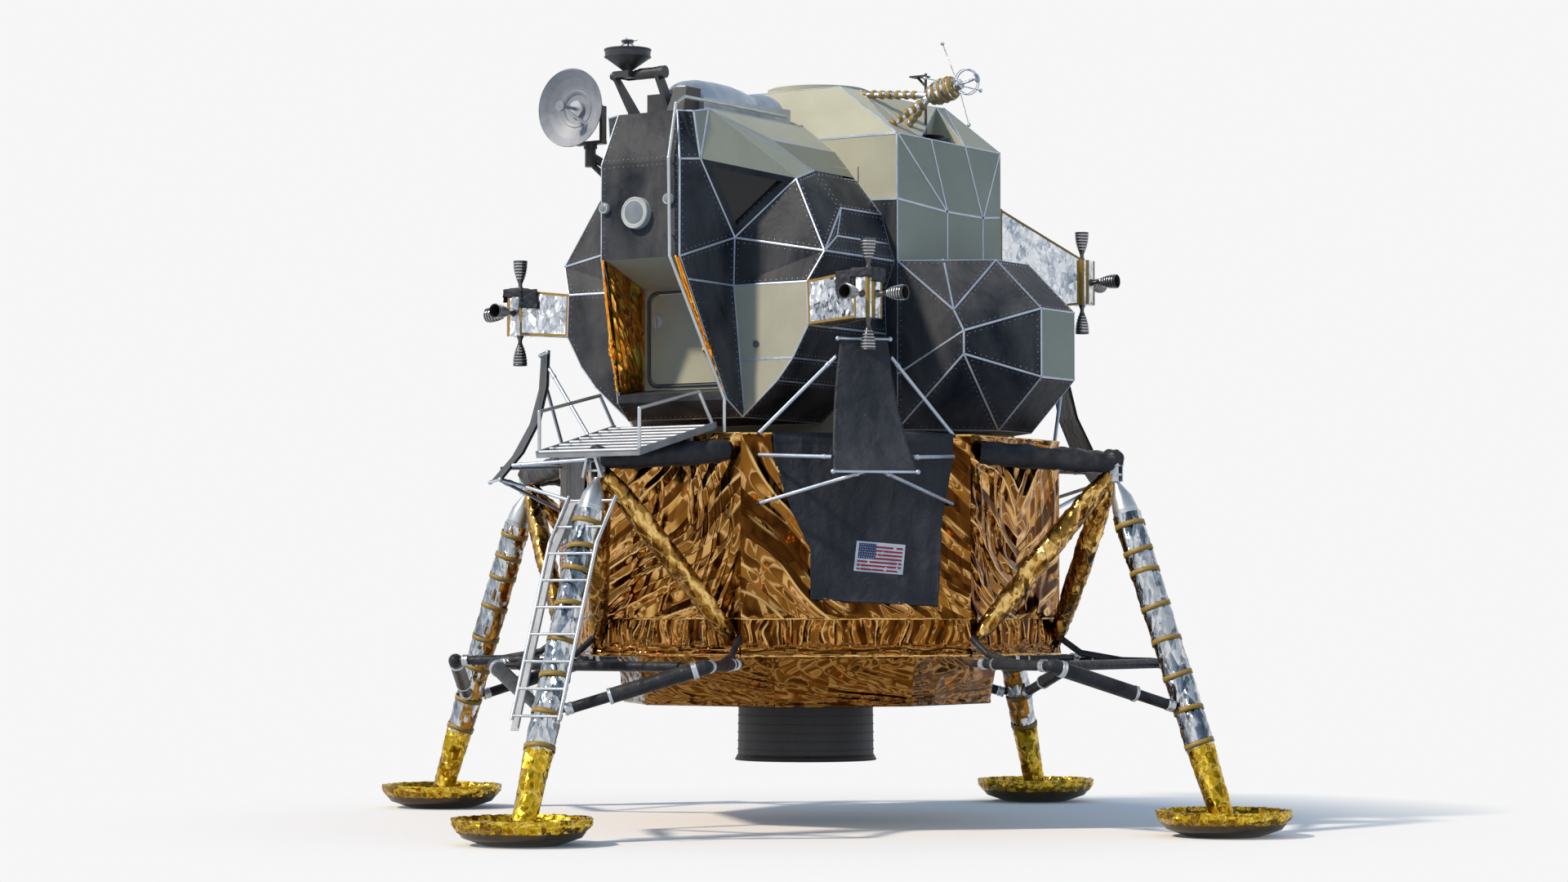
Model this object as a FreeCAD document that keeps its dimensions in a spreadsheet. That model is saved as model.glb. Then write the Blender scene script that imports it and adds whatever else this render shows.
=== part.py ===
import FreeCAD, Part
import math
import os

V = FreeCAD.Vector
doc = FreeCAD.newDocument("LunarLander")

# Frame: +X port, +Y aft, +Z up, origin on the floor under the stage's centre. Millimetres and degrees.
SIZES = [
    # alias, value, what it is
    ("pad_circle", 4137.0, "radius from the centre line to the footpad centres"),
    ("pad_radius", 563.0, "footpad rim radius"),
    ("pad_rim", 218.0, "footpad rim height"),
    ("pad_rim_low", 165.0, "height where the rim's short wall meets the rounded bottom"),
    ("pad_flat", 300.0, "radius of the footpad's flat underside"),
    ("pad_wall", 22.0, "footpad wall"),
    ("pad_floor", 60.0, "height of the dish floor inside the footpad"),
    ("socket_radius", 110.0, "ball socket in the middle of the footpad"),
    ("socket_top", 120.0, "height of the ball socket"),
    ("apex_radius", 3142.0, "radius from the centre line to the strut tops"),
    ("apex_height", 2952.0, "height of the strut tops"),
    ("strut_wrap", 118.0, "radius of the foil-wrapped strut cylinder"),
    ("strut_low", 92.0, "radius of the strut's piston at the pad"),
    ("strut_mid", 112.0, "radius of the strut's piston where the cylinder starts"),
    ("strut_cone", 84.0, "radius of the cone on the strut's top"),
    ("strut_tip", 26.0, "radius of the strut's tip"),
    ("piston_length", 640.0, "length of bare piston"),
    ("cone_length", 290.0, "length of the top cone"),
    ("stage_half", 2157.0, "centre line to a leg face of the descent stage"),
    ("leg_face_half", 762.0, "half width of a leg face"),
    ("deck_height", 3358.0, "top deck of the descent stage"),
    ("stage_low", 1482.0, "underside of the descent stage's box"),
    ("skirt_half", 1570.0, "half width of the base skirt at its top"),
    ("skirt_face_half", 700.0, "half width of a skirt face at its top"),
    ("skirt_taper", 0.955, "skirt bottom size over its top size"),
    ("skirt_low", 1050.0, "underside of the base skirt"),
    ("well_radius", 850.0, "radius of the engine well"),
    ("well_top", 2760.0, "ceiling of the engine well"),
    ("gimbal_height", 2200.0, "height of the engine's two gimbal axes"),
    ("ring_outer", 470.0, "gimbal ring outer radius"),
    ("ring_inner", 400.0, "gimbal ring inner radius"),
    ("ring_depth", 80.0, "gimbal ring height"),
    ("pin_radius", 26.0, "gimbal pin radius"),
    ("pin_gap", 1.2, "gap from a gimbal pin's end to its curved seat"),
    ("play", 0.3, "gap between flat faces that turn against each other"),
    ("chamber_radius", 200.0, "engine chamber block radius"),
    ("chamber_top", 2620.0, "top of the engine chamber block"),
    ("chamber_low", 1960.0, "bottom of the engine chamber block"),
    ("bell_lip", 626.0, "nozzle lip radius"),
    ("bell_straight", 604.0, "nozzle radius above its lip"),
    ("bell_low", 544.0, "height of the nozzle lip"),
    ("bell_wall", 14.0, "nozzle wall"),
    ("throat_radius", 120.0, "nozzle throat radius"),
    ("knee_radius", 3119.0, "outward place of the lower gear joints"),
    ("knee_half", 1077.0, "half spread of the lower gear joints"),
    ("knee_height", 1414.0, "height of the lower gear joints"),
    ("corner_height", 1425.0, "height of the side tubes' inner ends"),
    ("side_tube", 48.0, "radius of the lower side tubes"),
    ("cross_tube", 42.0, "radius of the lower cross tube"),
    ("sleeve_radius", 64.0, "radius of the side strut's sleeve"),
    ("side_strut", 46.0, "radius of the side strut's rod"),
    ("side_strut_share", 0.68, "where the side struts meet the main strut, from its top"),
    ("outrigger_tube", 80.0, "radius of the wrapped outrigger tubes"),
    ("outrigger_low", 150.0, "how far the outrigger tubes start under the deck"),
    ("outrigger_rise", 158.0, "height of the outrigger tubes over the strut tops"),
    ("brace_tube", 78.0, "radius of the wrapped diagonal braces"),
    ("brace_foot", 1640.0, "height of the braces' feet"),
    ("porch_half", 525.0, "half width of the porch"),
    ("porch_front", 3276.0, "front edge of the porch, ahead of the centre line"),
    ("porch_gap", 18.0, "rear edge of the porch, ahead of the stage's leg face"),
    ("porch_front_z", 3165.0, "height of the porch's front edge"),
    ("porch_step", 68.0, "height of the porch's rear edge over the deck"),
    ("porch_thick", 36.0, "thickness of the porch"),
    ("rail_tube", 15.0, "radius of the porch hoops"),
    ("rail_height", 345.0, "height of the porch hoops"),
    ("ladder_half", 238.0, "half spacing of the ladder's rails"),
    ("ladder_gap", 140.0, "ladder plane ahead of the strut axis"),
    ("ladder_top", 2771.0, "height of the top rung"),
    ("ladder_knee", 2418.0, "height where the rails bend back"),
    ("ladder_low", 991.0, "height of the rails' lower ends"),
    ("ladder_rail", 17.0, "radius of the ladder's rails"),
    ("ladder_rung", 12.0, "radius of a rung"),
    ("cabin_floor", 3497.0, "underside of the cabin"),
    ("cabin_roof", 6105.0, "crown of the cabin's roof"),
    ("cabin_front", 1880.0, "front ring of the cabin ahead of the centre line"),
    ("cabin_back", 650.0, "joint of cabin and midsection ahead of the centre line"),
    ("nose_front", 2540.0, "front face of the nose ahead of the centre line"),
    ("nose_half", 405.0, "half width of the nose's front face"),
    ("wall_share", 0.92, "inner size of the cabin over its outer size"),
    ("hatch_wall", 1830.0, "hatch wall ahead of the centre line"),
    ("hatch_wall_thick", 80.0, "thickness of the hatch wall"),
    ("hatch_half", 400.0, "half width of the forward hatch opening"),
    ("hatch_low", 3800.0, "sill of the forward hatch opening"),
    ("hatch_top", 4580.0, "head of the forward hatch opening"),
    ("hatch_corner", 90.0, "corner radius of the hatch opening"),
    ("hatch_thick", 50.0, "thickness of the forward hatch"),
    ("hatch_gap", 7.0, "gap round the forward hatch"),
    ("hatch_free_gap", 15.0, "gap at the hatch's free edge, for its swing"),
    ("mid_half", 1365.0, "half width of the midsection"),
    ("mid_back", 1120.0, "aft wall of the midsection behind the centre line"),
    ("mid_low", 3400.0, "underside of the midsection"),
    ("deck_gap", 42.0, "gap between the deck and the midsection's underside"),
    ("mid_eave", 5990.0, "top of the midsection's side walls"),
    ("ridge_height", 6500.0, "flat top of the midsection"),
    ("bay_back", 1760.0, "aft face of the aft equipment bay"),
    ("bay_half", 1150.0, "half width of the aft equipment bay"),
    ("tunnel_radius", 406.0, "docking tunnel bore radius"),
    ("tunnel_wall", 45.0, "docking tunnel wall"),
    ("tunnel_top", 6548.0, "top of the docking ring"),
    ("tunnel_low", 5760.0, "lower end of the docking tunnel"),
    ("tunnel_y", 200.0, "docking tunnel behind the centre line"),
    ("lid_gap", 7.0, "gap round the overhead hatch"),
    ("lid_thick", 45.0, "thickness of the overhead hatch"),
    ("radar_arm", 88.0, "half opening of the radar's yoke"),
    ("vault_axis", 6139.0, "height of the roof vault's axis"),
    ("quad_x", 1810.0, "thruster cluster outward place"),
    ("quad_y", 1828.0, "thruster cluster fore and aft place"),
    ("quad_front_z", 4484.0, "height of the front thruster clusters"),
    ("quad_aft_z", 4845.0, "height of the aft thruster clusters"),
    ("thruster_mouth", 64.0, "thruster mouth radius"),
    ("thruster_throat", 34.0, "thruster throat radius"),
    ("thruster_length", 240.0, "thruster nozzle length"),
    ("panel_thick", 14.0, "deflector panel thickness"),
    ("panel_rise", 792.0, "top of the deflector panels over the deck"),
    ("panel_drop", 348.0, "bottom of the deflector panels under the deck"),
    ("blanket_thick", 10.0, "thickness of the black blankets"),
    ("radar_z", 6440.0, "height of the radar's axes"),
    ("radar_radius", 198.0, "radar dish radius"),
    ("sband_radius", 335.0, "steerable dish radius"),
    ("sband_z", 6250.0, "height of the steerable dish's axis"),
]
sheet = doc.addObject("Spreadsheet::Sheet", "Sizes")
for row, (alias, value, meaning) in enumerate(SIZES, 1):
    sheet.set("A%d" % row, meaning)
    sheet.set("B%d" % row, str(value))
    sheet.setAlias("B%d" % row, alias)
doc.recompute()
S = {alias: float(sheet.get(alias)) for alias, _, _ in SIZES}
S["porch_rear"] = S["stage_half"] + S["porch_gap"]
S["porch_rear_z"] = S["deck_height"] + S["porch_step"]
nodes = []


def keep(thing, label):
    """Give a finished sub-part its label and put it on the list of nodes."""
    thing.Label = label
    nodes.append(thing)
    return thing


lift = 0.0  # how far a finished sub-part is raised to stand on the deck


def feature(label, shape):
    """A sub-part whose shape is built directly."""
    thing = doc.addObject("Part::Feature", label)
    thing.Shape = shape.translated(V(0, 0, lift)) if lift else shape
    return keep(thing, label)


def fuse(shapes):
    """One shape from several that touch or overlap."""
    return shapes[0].multiFuse(shapes[1:]).removeSplitter() if len(shapes) > 1 else shapes[0]


def turned(shape, angle):
    """A copy turned about the centre line."""
    copy = shape.copy()
    copy.rotate(V(0, 0, 0), V(0, 0, 1), angle)
    return copy


def mirrored(shape):
    """The starboard copy of a port shape."""
    return shape.mirror(V(0, 0, 0), V(1, 0, 0))


def fore_aft(shape):
    """The aft copy of a forward shape."""
    return shape.mirror(V(0, 0, 0), V(0, 1, 0))


def rod(start, end, radius, end_radius=None):
    """A round bar or cone from one point to another."""
    start, end = V(*start), V(*end)
    run = end - start
    if end_radius is None or abs(end_radius - radius) < 0.01:
        return Part.makeCylinder(radius, run.Length, start, run)
    return Part.makeCone(radius, end_radius, run.Length, start, run)


def between(start, end, share):
    """The point a share of the way from one point to another."""
    return tuple(a + (b - a) * share for a, b in zip(start, end))


def lathe(profile):
    """Solid turned about Z from a closed (radius, height) profile."""
    loop = [V(r, 0, z) for r, z in profile]
    return Part.Face(Part.makePolygon(loop + loop[:1])).revolve(V(0, 0, 0), V(0, 0, 1), 360)


def spindle(start, end, steps):
    """Round bar whose radius changes along its length: steps hold (share, radius)."""
    run = V(*end) - V(*start)
    profile = [(0, steps[0][0] * run.Length)] + [(radius, share * run.Length) for share, radius in steps]
    bar = lathe(profile + [(0, steps[-1][0] * run.Length)])
    bar.Placement = FreeCAD.Placement(V(*start), FreeCAD.Rotation(V(0, 0, 1), run))
    return bar


def bent_tube(points, radius):
    """Round tube through points, with a ball at each bend."""
    pieces = [rod(a, b, radius) for a, b in zip(points, points[1:])]
    pieces += [Part.makeSphere(radius + 0.8, V(*p)) for p in points[1:-1]]
    return fuse(pieces)


def box(low, high):
    """Box from its low corner to its high corner."""
    size = V(*high) - V(*low)
    return Part.makeBox(size.x, size.y, size.z, V(*low))


def facets(corners, faces):
    """Flat-faced solid: corners by name, faces as words of corner names."""
    panels = []
    for face in faces:
        loop = [V(*corners[name]) for name in face.split()]
        panels.append(Part.Face(Part.makePolygon(loop + loop[:1])))
    solid = Part.Solid(Part.Shell(panels))
    if solid.Volume < 0:
        solid.reverse()
    return solid


def stacked(rows):
    """Flat-faced solid through rows of corners, with a cap at each end."""
    panels = [Part.Face(Part.makePolygon(row + row[:1])) for row in (rows[0], rows[-1])]
    count = len(rows[0])
    for low, high in zip(rows, rows[1:]):
        for i in range(count):
            nxt = (i + 1) % count
            panels.append(Part.Face(Part.makePolygon([low[i], low[nxt], high[nxt], high[i], low[i]])))
    solid = Part.Solid(Part.Shell(panels))
    if solid.Volume < 0:
        solid.reverse()
    return solid


def octagon(half, face_half, height):
    """Closed wire of the stage's outline at one height."""
    turn = [(half, -face_half), (half, face_half), (face_half, half), (-face_half, half),
            (-half, face_half), (-half, -face_half), (-face_half, -half), (face_half, -half)]
    loop = [V(x, y, height) for x, y in turn]
    return Part.makePolygon(loop + loop[:1])


def sketch_on(body, name, role, points, bindings=()):
    """Closed sketch of straight lines on one of the body's origin planes."""
    sketch = body.newObject("Sketcher::SketchObject", name)
    plane = [f for f in body.Origin.OriginFeatures if f.Role == role][0]
    sketch.AttachmentSupport = [(plane, "")]
    sketch.MapMode = "FlatFace"
    for start, end in zip(points, points[1:] + points[:1]):
        sketch.addGeometry(Part.LineSegment(V(*start, 0), V(*end, 0)), False)
    return sketch


def revolved(label, profile, placement=None, angle=360.0):
    """PartDesign body turned from a (radius, height) profile."""
    body = doc.addObject("PartDesign::Body", label)
    sketch = sketch_on(body, label + "_profile", "XZ_Plane", profile)
    turn = body.newObject("PartDesign::Revolution", label + "_turn")
    turn.Profile = sketch
    turn.ReferenceAxis = (sketch, ["V_Axis"])
    turn.Angle = angle
    body.Tip = turn
    if placement:
        body.Placement = placement
    return keep(body, label)


# ---- descent stage -------------------------------------------------------------------------
body = doc.addObject("PartDesign::Body", "descent_body")
half, face_half = S["stage_half"], S["leg_face_half"]
outline = [(half, -face_half), (half, face_half), (face_half, half), (-face_half, half),
           (-half, face_half), (-half, -face_half), (-face_half, -half), (face_half, -half)]
plan = sketch_on(body, "stage_outline", "XY_Plane", outline)
plan.AttachmentOffset = FreeCAD.Placement(V(0, 0, S["stage_low"]), FreeCAD.Rotation())
plan.setExpression("AttachmentOffset.Base.z", "Sizes.stage_low * 1 mm")
pad = body.newObject("PartDesign::Pad", "stage_pad")
pad.Profile = plan
pad.setExpression("Length", "(Sizes.deck_height - Sizes.stage_low) * 1 mm")
doc.recompute()
well = body.newObject("Sketcher::SketchObject", "well_outline")
well.AttachmentSupport = [([f for f in body.Origin.OriginFeatures if f.Role == "XY_Plane"][0], "")]
well.MapMode = "FlatFace"
well.addGeometry(Part.Circle(V(0, 0, 0), V(0, 0, 1), S["well_radius"]), False)
pocket = body.newObject("PartDesign::Pocket", "well_pocket")
pocket.Profile = well
pocket.Reversed = True
pocket.setExpression("Length", "Sizes.well_top * 1 mm")
body.Tip = pocket
keep(body, "descent_body")

skirt = Part.makeLoft([
    octagon(S["skirt_half"] * S["skirt_taper"], S["skirt_face_half"] * S["skirt_taper"], S["skirt_low"]),
    octagon(S["skirt_half"], S["skirt_face_half"], S["stage_low"])], True, True)
skirt = skirt.cut(Part.makeCylinder(S["well_radius"], S["stage_low"] - S["skirt_low"] + 2,
                                    V(0, 0, S["skirt_low"] - 1)))
feature("base_skirt", skirt)

# ---- descent engine on its gimbal ------------------------------------------------------------
ring = Part.makeCylinder(S["ring_outer"], S["ring_depth"], V(0, 0, S["gimbal_height"] - S["ring_depth"] / 2))
ring = ring.cut(Part.makeCylinder(S["ring_inner"], S["ring_depth"] + 2,
                                  V(0, 0, S["gimbal_height"] - S["ring_depth"] / 2 - 1)))
ring_pins = []
for side in (-1, 1):
    ring_pins.append(rod((side * (S["ring_outer"] - 20), 0, S["gimbal_height"]),
                         (side * (S["well_radius"] - S["pin_gap"]), 0, S["gimbal_height"]), S["pin_radius"]))
feature("gimbal_ring", fuse([ring] + ring_pins))
chamber = [Part.makeCylinder(S["chamber_radius"], S["chamber_top"] - S["chamber_low"], V(0, 0, S["chamber_low"]))]
for side in (-1, 1):
    chamber.append(rod((0, side * (S["chamber_radius"] - 20), S["gimbal_height"]),
                       (0, side * (S["ring_inner"] - S["pin_gap"]), S["gimbal_height"]), S["pin_radius"]))
feature("engine_block", fuse(chamber))
bell = [  # height, radius
    (S["bell_low"], S["bell_lip"]), (S["bell_low"] + 25, S["bell_lip"] - 4),
    (S["bell_low"] + 55, S["bell_straight"]), (1100, S["bell_straight"] - 6), (1320, 545),
    (1560, 430), (1780, 275), (S["chamber_low"], S["throat_radius"])]
outer = [(radius, height) for height, radius in bell]
inner = [(radius - S["bell_wall"], height) for height, radius in reversed(bell)]
revolved("engine_nozzle", outer + inner)

# ---- landing gear ------------------------------------------------------------------------------
LEGS = [  # name, turn from the port leg
    ("port", 0), ("aft", 90), ("starboard", 180), ("front", 270)]
pad_profile = [
    (0, 0), (S["pad_flat"], 0), ((S["pad_flat"] + S["pad_radius"]) / 2 + 45, 62),
    (S["pad_radius"] - 4, S["pad_rim_low"]), (S["pad_radius"], S["pad_rim"]),
    (S["pad_radius"] - S["pad_wall"], S["pad_rim"]),
    (S["pad_radius"] - S["pad_wall"] - 25, S["pad_rim_low"]),
    (S["pad_flat"] + 60, S["pad_floor"] + 34), (S["socket_radius"] + 40, S["pad_floor"]),
    (S["socket_radius"], S["socket_top"]), (0, S["socket_top"])]
foot = (S["pad_circle"], 0, S["socket_top"])
apex = (S["apex_radius"], 0, S["apex_height"])
strut_length = (V(*apex) - V(*foot)).Length
strut_profile = [
    (0, 0), (S["strut_low"], S["strut_low"] * 0.38), (S["strut_mid"], S["piston_length"]), (S["strut_wrap"], S["piston_length"]),
    (S["strut_wrap"], strut_length - S["cone_length"]), (S["strut_cone"], strut_length - S["cone_length"]),
    (S["strut_cone"], strut_length - S["cone_length"] + 60), (S["strut_tip"], strut_length - 12),
    (S["strut_tip"], strut_length), (0, strut_length)]
lean = FreeCAD.Rotation(V(0, 0, 1), V(*apex) - V(*foot))
corner = (S["stage_half"], S["leg_face_half"], S["corner_height"])
knee = (S["knee_radius"], S["knee_half"], S["knee_height"])
grip = between(apex, foot, S["side_strut_share"])


def other(point):
    """The same point on the leg's other side."""
    return (point[0], -point[1], point[2])


def outrigger(strut):
    """Two wrapped tubes, the apex fitting and two wrapped braces of the port leg."""
    pieces = []
    top = (S["apex_radius"] - 10, 12, S["apex_height"] + S["outrigger_rise"])
    root = (S["stage_half"], S["leg_face_half"] - 90, S["deck_height"] - S["outrigger_low"])
    brace_foot = (S["stage_half"] + 20, S["leg_face_half"] - 70, S["brace_foot"])
    brace_top = (S["apex_radius"] - 60, 20, S["apex_height"] + 70)
    for flip in (lambda p: p, other):
        pieces.append(spindle(flip(root), flip(top), [(0, S["outrigger_tube"] - 12), (0.1, S["outrigger_tube"]),
                                                      (0.9, S["outrigger_tube"] - 8), (1, 50)]))
        pieces.append(spindle(flip(brace_foot), flip(brace_top), [(0, 40), (0.12, 62), (0.6, S["brace_tube"]),
                                                                 (0.9, 60), (1, 36)]))
    pieces.append(box((S["apex_radius"] - 120, -70, S["apex_height"] + 30), (S["apex_radius"] + 50, 70, S["apex_height"] + S["outrigger_rise"] + 55)))
    pieces.append(rod((S["apex_radius"], 0, S["apex_height"]), (S["apex_radius"], 0, S["apex_height"] + 40), 24))
    whole = fuse(pieces)
    return whole.cut(box((0, -3000, 0), (S["stage_half"], 3000, 9000))).cut(strut)


def side_struts(strut):
    """Side tubes, cross tube, side struts and fold-down links of the port leg."""
    pieces = []
    sleeve_end = between(knee, grip, 0.6)
    link_top = (S["stage_half"], S["leg_face_half"] - 10, 1640)
    link_mid = (S["stage_half"] + 190, S["leg_face_half"] + 40, 1500)
    link_low = between(corner, knee, 0.66)
    for flip in (lambda p: p, other):
        pieces.append(spindle(flip(corner), flip(knee), [(0, 30), (0.14, 34), (0.3, S["side_tube"]),
                                                         (0.8, S["side_tube"] - 4), (0.95, 32), (1, 30)]))
        pieces.append(Part.makeSphere(58, V(*flip(knee))))
        pieces.append(rod(flip(knee), flip(sleeve_end), S["sleeve_radius"]))
        pieces.append(rod(flip(sleeve_end), flip(between(knee, grip, 0.88)), S["side_strut"]))
        pieces.append(rod(flip(between(knee, grip, 0.88)), flip(grip), 20))
        pieces.append(bent_tube([flip(link_top), flip(link_mid), flip(link_low)], 28))
    pieces.append(spindle(other(knee), knee, [(0, 22), (0.12, 22), (0.121, S["cross_tube"]),
                                             (0.879, S["cross_tube"]), (0.88, 22), (1, 22)]))
    whole = fuse(pieces)
    return whole.cut(box((0, -3000, 0), (S["stage_half"], 3000, 9000))).cut(strut)


strut_lathe = Part.makePolygon([V(r, 0, z) for r, z in strut_profile] + [V(0, 0, 0)])
strut_solid = Part.Face(strut_lathe).revolve(V(0, 0, 0), V(0, 0, 1), 360)
strut_solid.Placement = FreeCAD.Placement(V(*foot), lean)
port_outrigger = outrigger(strut_solid)
port_side_struts = side_struts(strut_solid)
for leg, angle in LEGS:
    swing = FreeCAD.Placement(V(0, 0, 0), FreeCAD.Rotation(V(0, 0, 1), angle))
    revolved("footpad_" + leg, pad_profile, swing.multiply(FreeCAD.Placement(V(S["pad_circle"], 0, 0),
                                                                              FreeCAD.Rotation())))
    revolved("strut_" + leg, strut_profile, swing.multiply(FreeCAD.Placement(V(*foot), lean)))
    feature("outrigger_" + leg, turned(port_outrigger, angle))
    feature("side_struts_" + leg, turned(port_side_struts, angle))

# ---- porch and ladder on the front leg -----------------------------------------------------------
front_strut = turned(strut_solid, 270)
thick = S["porch_thick"]
porch_side = [V(0, -S["porch_front"], S["porch_front_z"]), V(0, -S["porch_rear"], S["porch_rear_z"]),
              V(0, -S["porch_rear"], S["porch_rear_z"] - thick), V(0, -S["porch_front"], S["porch_front_z"] - thick)]
porch = Part.Face(Part.makePolygon(porch_side + porch_side[:1])).extrude(V(2 * S["porch_half"], 0, 0))
porch.translate(V(-S["porch_half"], 0, 0))
legs = []
for side in (-1, 1):
    post_y, post_z = -S["porch_rear"] - 85, S["porch_rear_z"] - 176
    legs.append(rod((side * 330, post_y, post_z), (side * 330, post_y, post_z + 145), 18))
    legs.append(rod((side * 330, -S["stage_half"], post_z), (side * 330, post_y - 18, post_z), 18))
porch_legs = fuse(legs[:2])
porch_whole = fuse([porch, fuse(legs[:2]), fuse(legs[2:])])
outrigger_front = turned(port_outrigger, 270)
feature("porch", porch_whole.cut(outrigger_front))


def porch_height(y):
    """Height of the porch's upper face at a place along Y."""
    share = (-y - S["porch_rear"]) / (S["porch_front"] - S["porch_rear"])
    return S["porch_rear_z"] + (S["porch_front_z"] - S["porch_rear_z"]) * share


rails = []
for side in (-1, 1):
    x = side * (S["porch_half"] - S["rail_tube"])
    front_y, rear_y = -S["porch_front"] + 20, -S["porch_rear"] - 25
    rails.append(bent_tube([
        (x, front_y, porch_height(front_y)), (x, front_y, porch_height(front_y) + S["rail_height"]),
        (x, rear_y - 210, porch_height(rear_y) + S["rail_height"] - 75), (x, rear_y, porch_height(rear_y))],
        S["rail_tube"]))
rail_shape = Part.makeCompound([r.cut(porch) for r in rails])
feature("porch_rails", rail_shape)


def strut_out(z):
    """Distance of the main strut's axis from the centre line at one height."""
    share = (S["apex_height"] - z) / (S["apex_height"] - S["socket_top"])
    return S["apex_radius"] + (S["pad_circle"] - S["apex_radius"]) * share


def ladder_y(z):
    """Place of the ladder's plane along Y at one height."""
    if z <= S["ladder_knee"]:
        return -(strut_out(z) + S["ladder_gap"])
    share = (z - S["ladder_knee"]) / (S["ladder_top"] - S["ladder_knee"])
    return -(strut_out(z) + S["ladder_gap"] * (1 - share))


RUNGS = 9
ladder = []
rung_heights = [S["ladder_top"] + (S["ladder_low"] + 32 - S["ladder_top"]) * i / (RUNGS - 1)
                for i in range(RUNGS)]
for side in (-1, 1):
    x = side * S["ladder_half"]
    stops = [S["ladder_top"] + 34, S["ladder_knee"], S["ladder_low"]]
    ladder.append(bent_tube([(x, ladder_y(min(z, S["ladder_top"])), z) for z in stops], S["ladder_rail"]))
for z in rung_heights:
    ladder.append(rod((-S["ladder_half"], ladder_y(z), z), (S["ladder_half"], ladder_y(z), z), S["ladder_rung"]))
for z in (rung_heights[2], rung_heights[5], rung_heights[8]):
    for side in (-1, 1):
        ladder.append(rod((side * 70, ladder_y(z), z), (side * 70, -strut_out(z), z), 12))
feature("ladder", fuse(ladder).cut(front_strut))

# ---- plume deflectors and black blankets on the stage's slanted faces -------------------------------
slant = (S["stage_half"] + S["leg_face_half"]) / math.sqrt(2)
slant_half = (S["stage_half"] - S["leg_face_half"]) / math.sqrt(2)


def on_slant(along, out, z):
    """Point on the port-front slanted side: along it to port, out from the centre line, height."""
    k = math.sqrt(0.5)
    return (out * k + along * k, -out * k + along * k, z)


def deflector(top, low):
    """Curved panel hung on six rods, port-front side."""
    bends = [  # out from the centre line, height share, half width
        (2330, 1.00, 195), (2345, 0.72, 235), (2420, 0.45, 275), (2570, 0.20, 315), (2760, 0.0, 350)]
    rows = []
    for out, share, half_width in bends:
        z = low + (top - low) * share
        far = out + S["panel_thick"]
        rows.append([V(*on_slant(-half_width, out, z)), V(*on_slant(half_width, out, z)),
                     V(*on_slant(half_width, far, z)), V(*on_slant(-half_width, far, z))])
    panel = stacked(rows)
    rods = []
    for side in (-1, 1):
        for end, start_z in (((side * 225, 2345, low + (top - low) * 0.86), S["deck_height"] - 25),
                             ((side * 335, 2690, low + 120), S["deck_height"] - 190),
                             ((side * 40, 2752, low + 12), S["deck_height"] - 600)):
            rods.append(rod(on_slant(side * 850, slant, start_z), on_slant(*end), 15))
    return fuse([panel] + rods)


stage_block = Part.Face(octagon(half, face_half, S["stage_low"])).extrude(V(0, 0, S["deck_height"] - S["stage_low"]))
panel_top, panel_low = S["deck_height"] + S["panel_rise"], S["deck_height"] - S["panel_drop"]
front_deflector = deflector(panel_top, panel_low).cut(stage_block)
aft_rise = S["quad_aft_z"] - S["quad_front_z"]
aft_deflector = fore_aft(deflector(panel_top + aft_rise * 0.5, panel_low)).cut(stage_block)
feature("deflector_port_front", front_deflector)
feature("deflector_starboard_front", mirrored(front_deflector))
feature("deflector_port_aft", aft_deflector)
feature("deflector_starboard_aft", mirrored(aft_deflector))
deck = S["deck_height"]
blanket_outline = [(-720, deck), (-700, deck - 278), (-560, deck - 658), (-400, deck - 978), (-400, deck - 1398),
                   (700, deck - 1458), (740, deck - 708), (830, deck - 208), (830, deck)]
blankets = []
loop = [V(*on_slant(along, slant + 0.5, z)) for along, z in blanket_outline]
sheet_face = Part.Face(Part.makePolygon(loop + loop[:1]))
k = math.sqrt(0.5) * S["blanket_thick"]
blanket = sheet_face.extrude(V(k, -k, 0))
blanket = blanket.cut(front_deflector)
feature("thermal_blankets", Part.makeCompound([blanket, mirrored(blanket)]))

# ---- interstage fittings ----------------------------------------------------------------------------
# The ascent stage is drawn at the heights in the table, then set on the deck as one.
lift = S["deck_height"] + S["deck_gap"] - S["mid_low"]
posts = []
for x in (-820, 820):
    for y in (-420, 860):
        posts.append(Part.makeCone(95, 60, S["deck_gap"], V(x, y, S["mid_low"] - S["deck_gap"])))
posts.append(Part.makeCylinder(420, S["deck_gap"], V(0, 200, S["mid_low"] - S["deck_gap"])))
feature("interstage", Part.makeCompound(posts))

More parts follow.
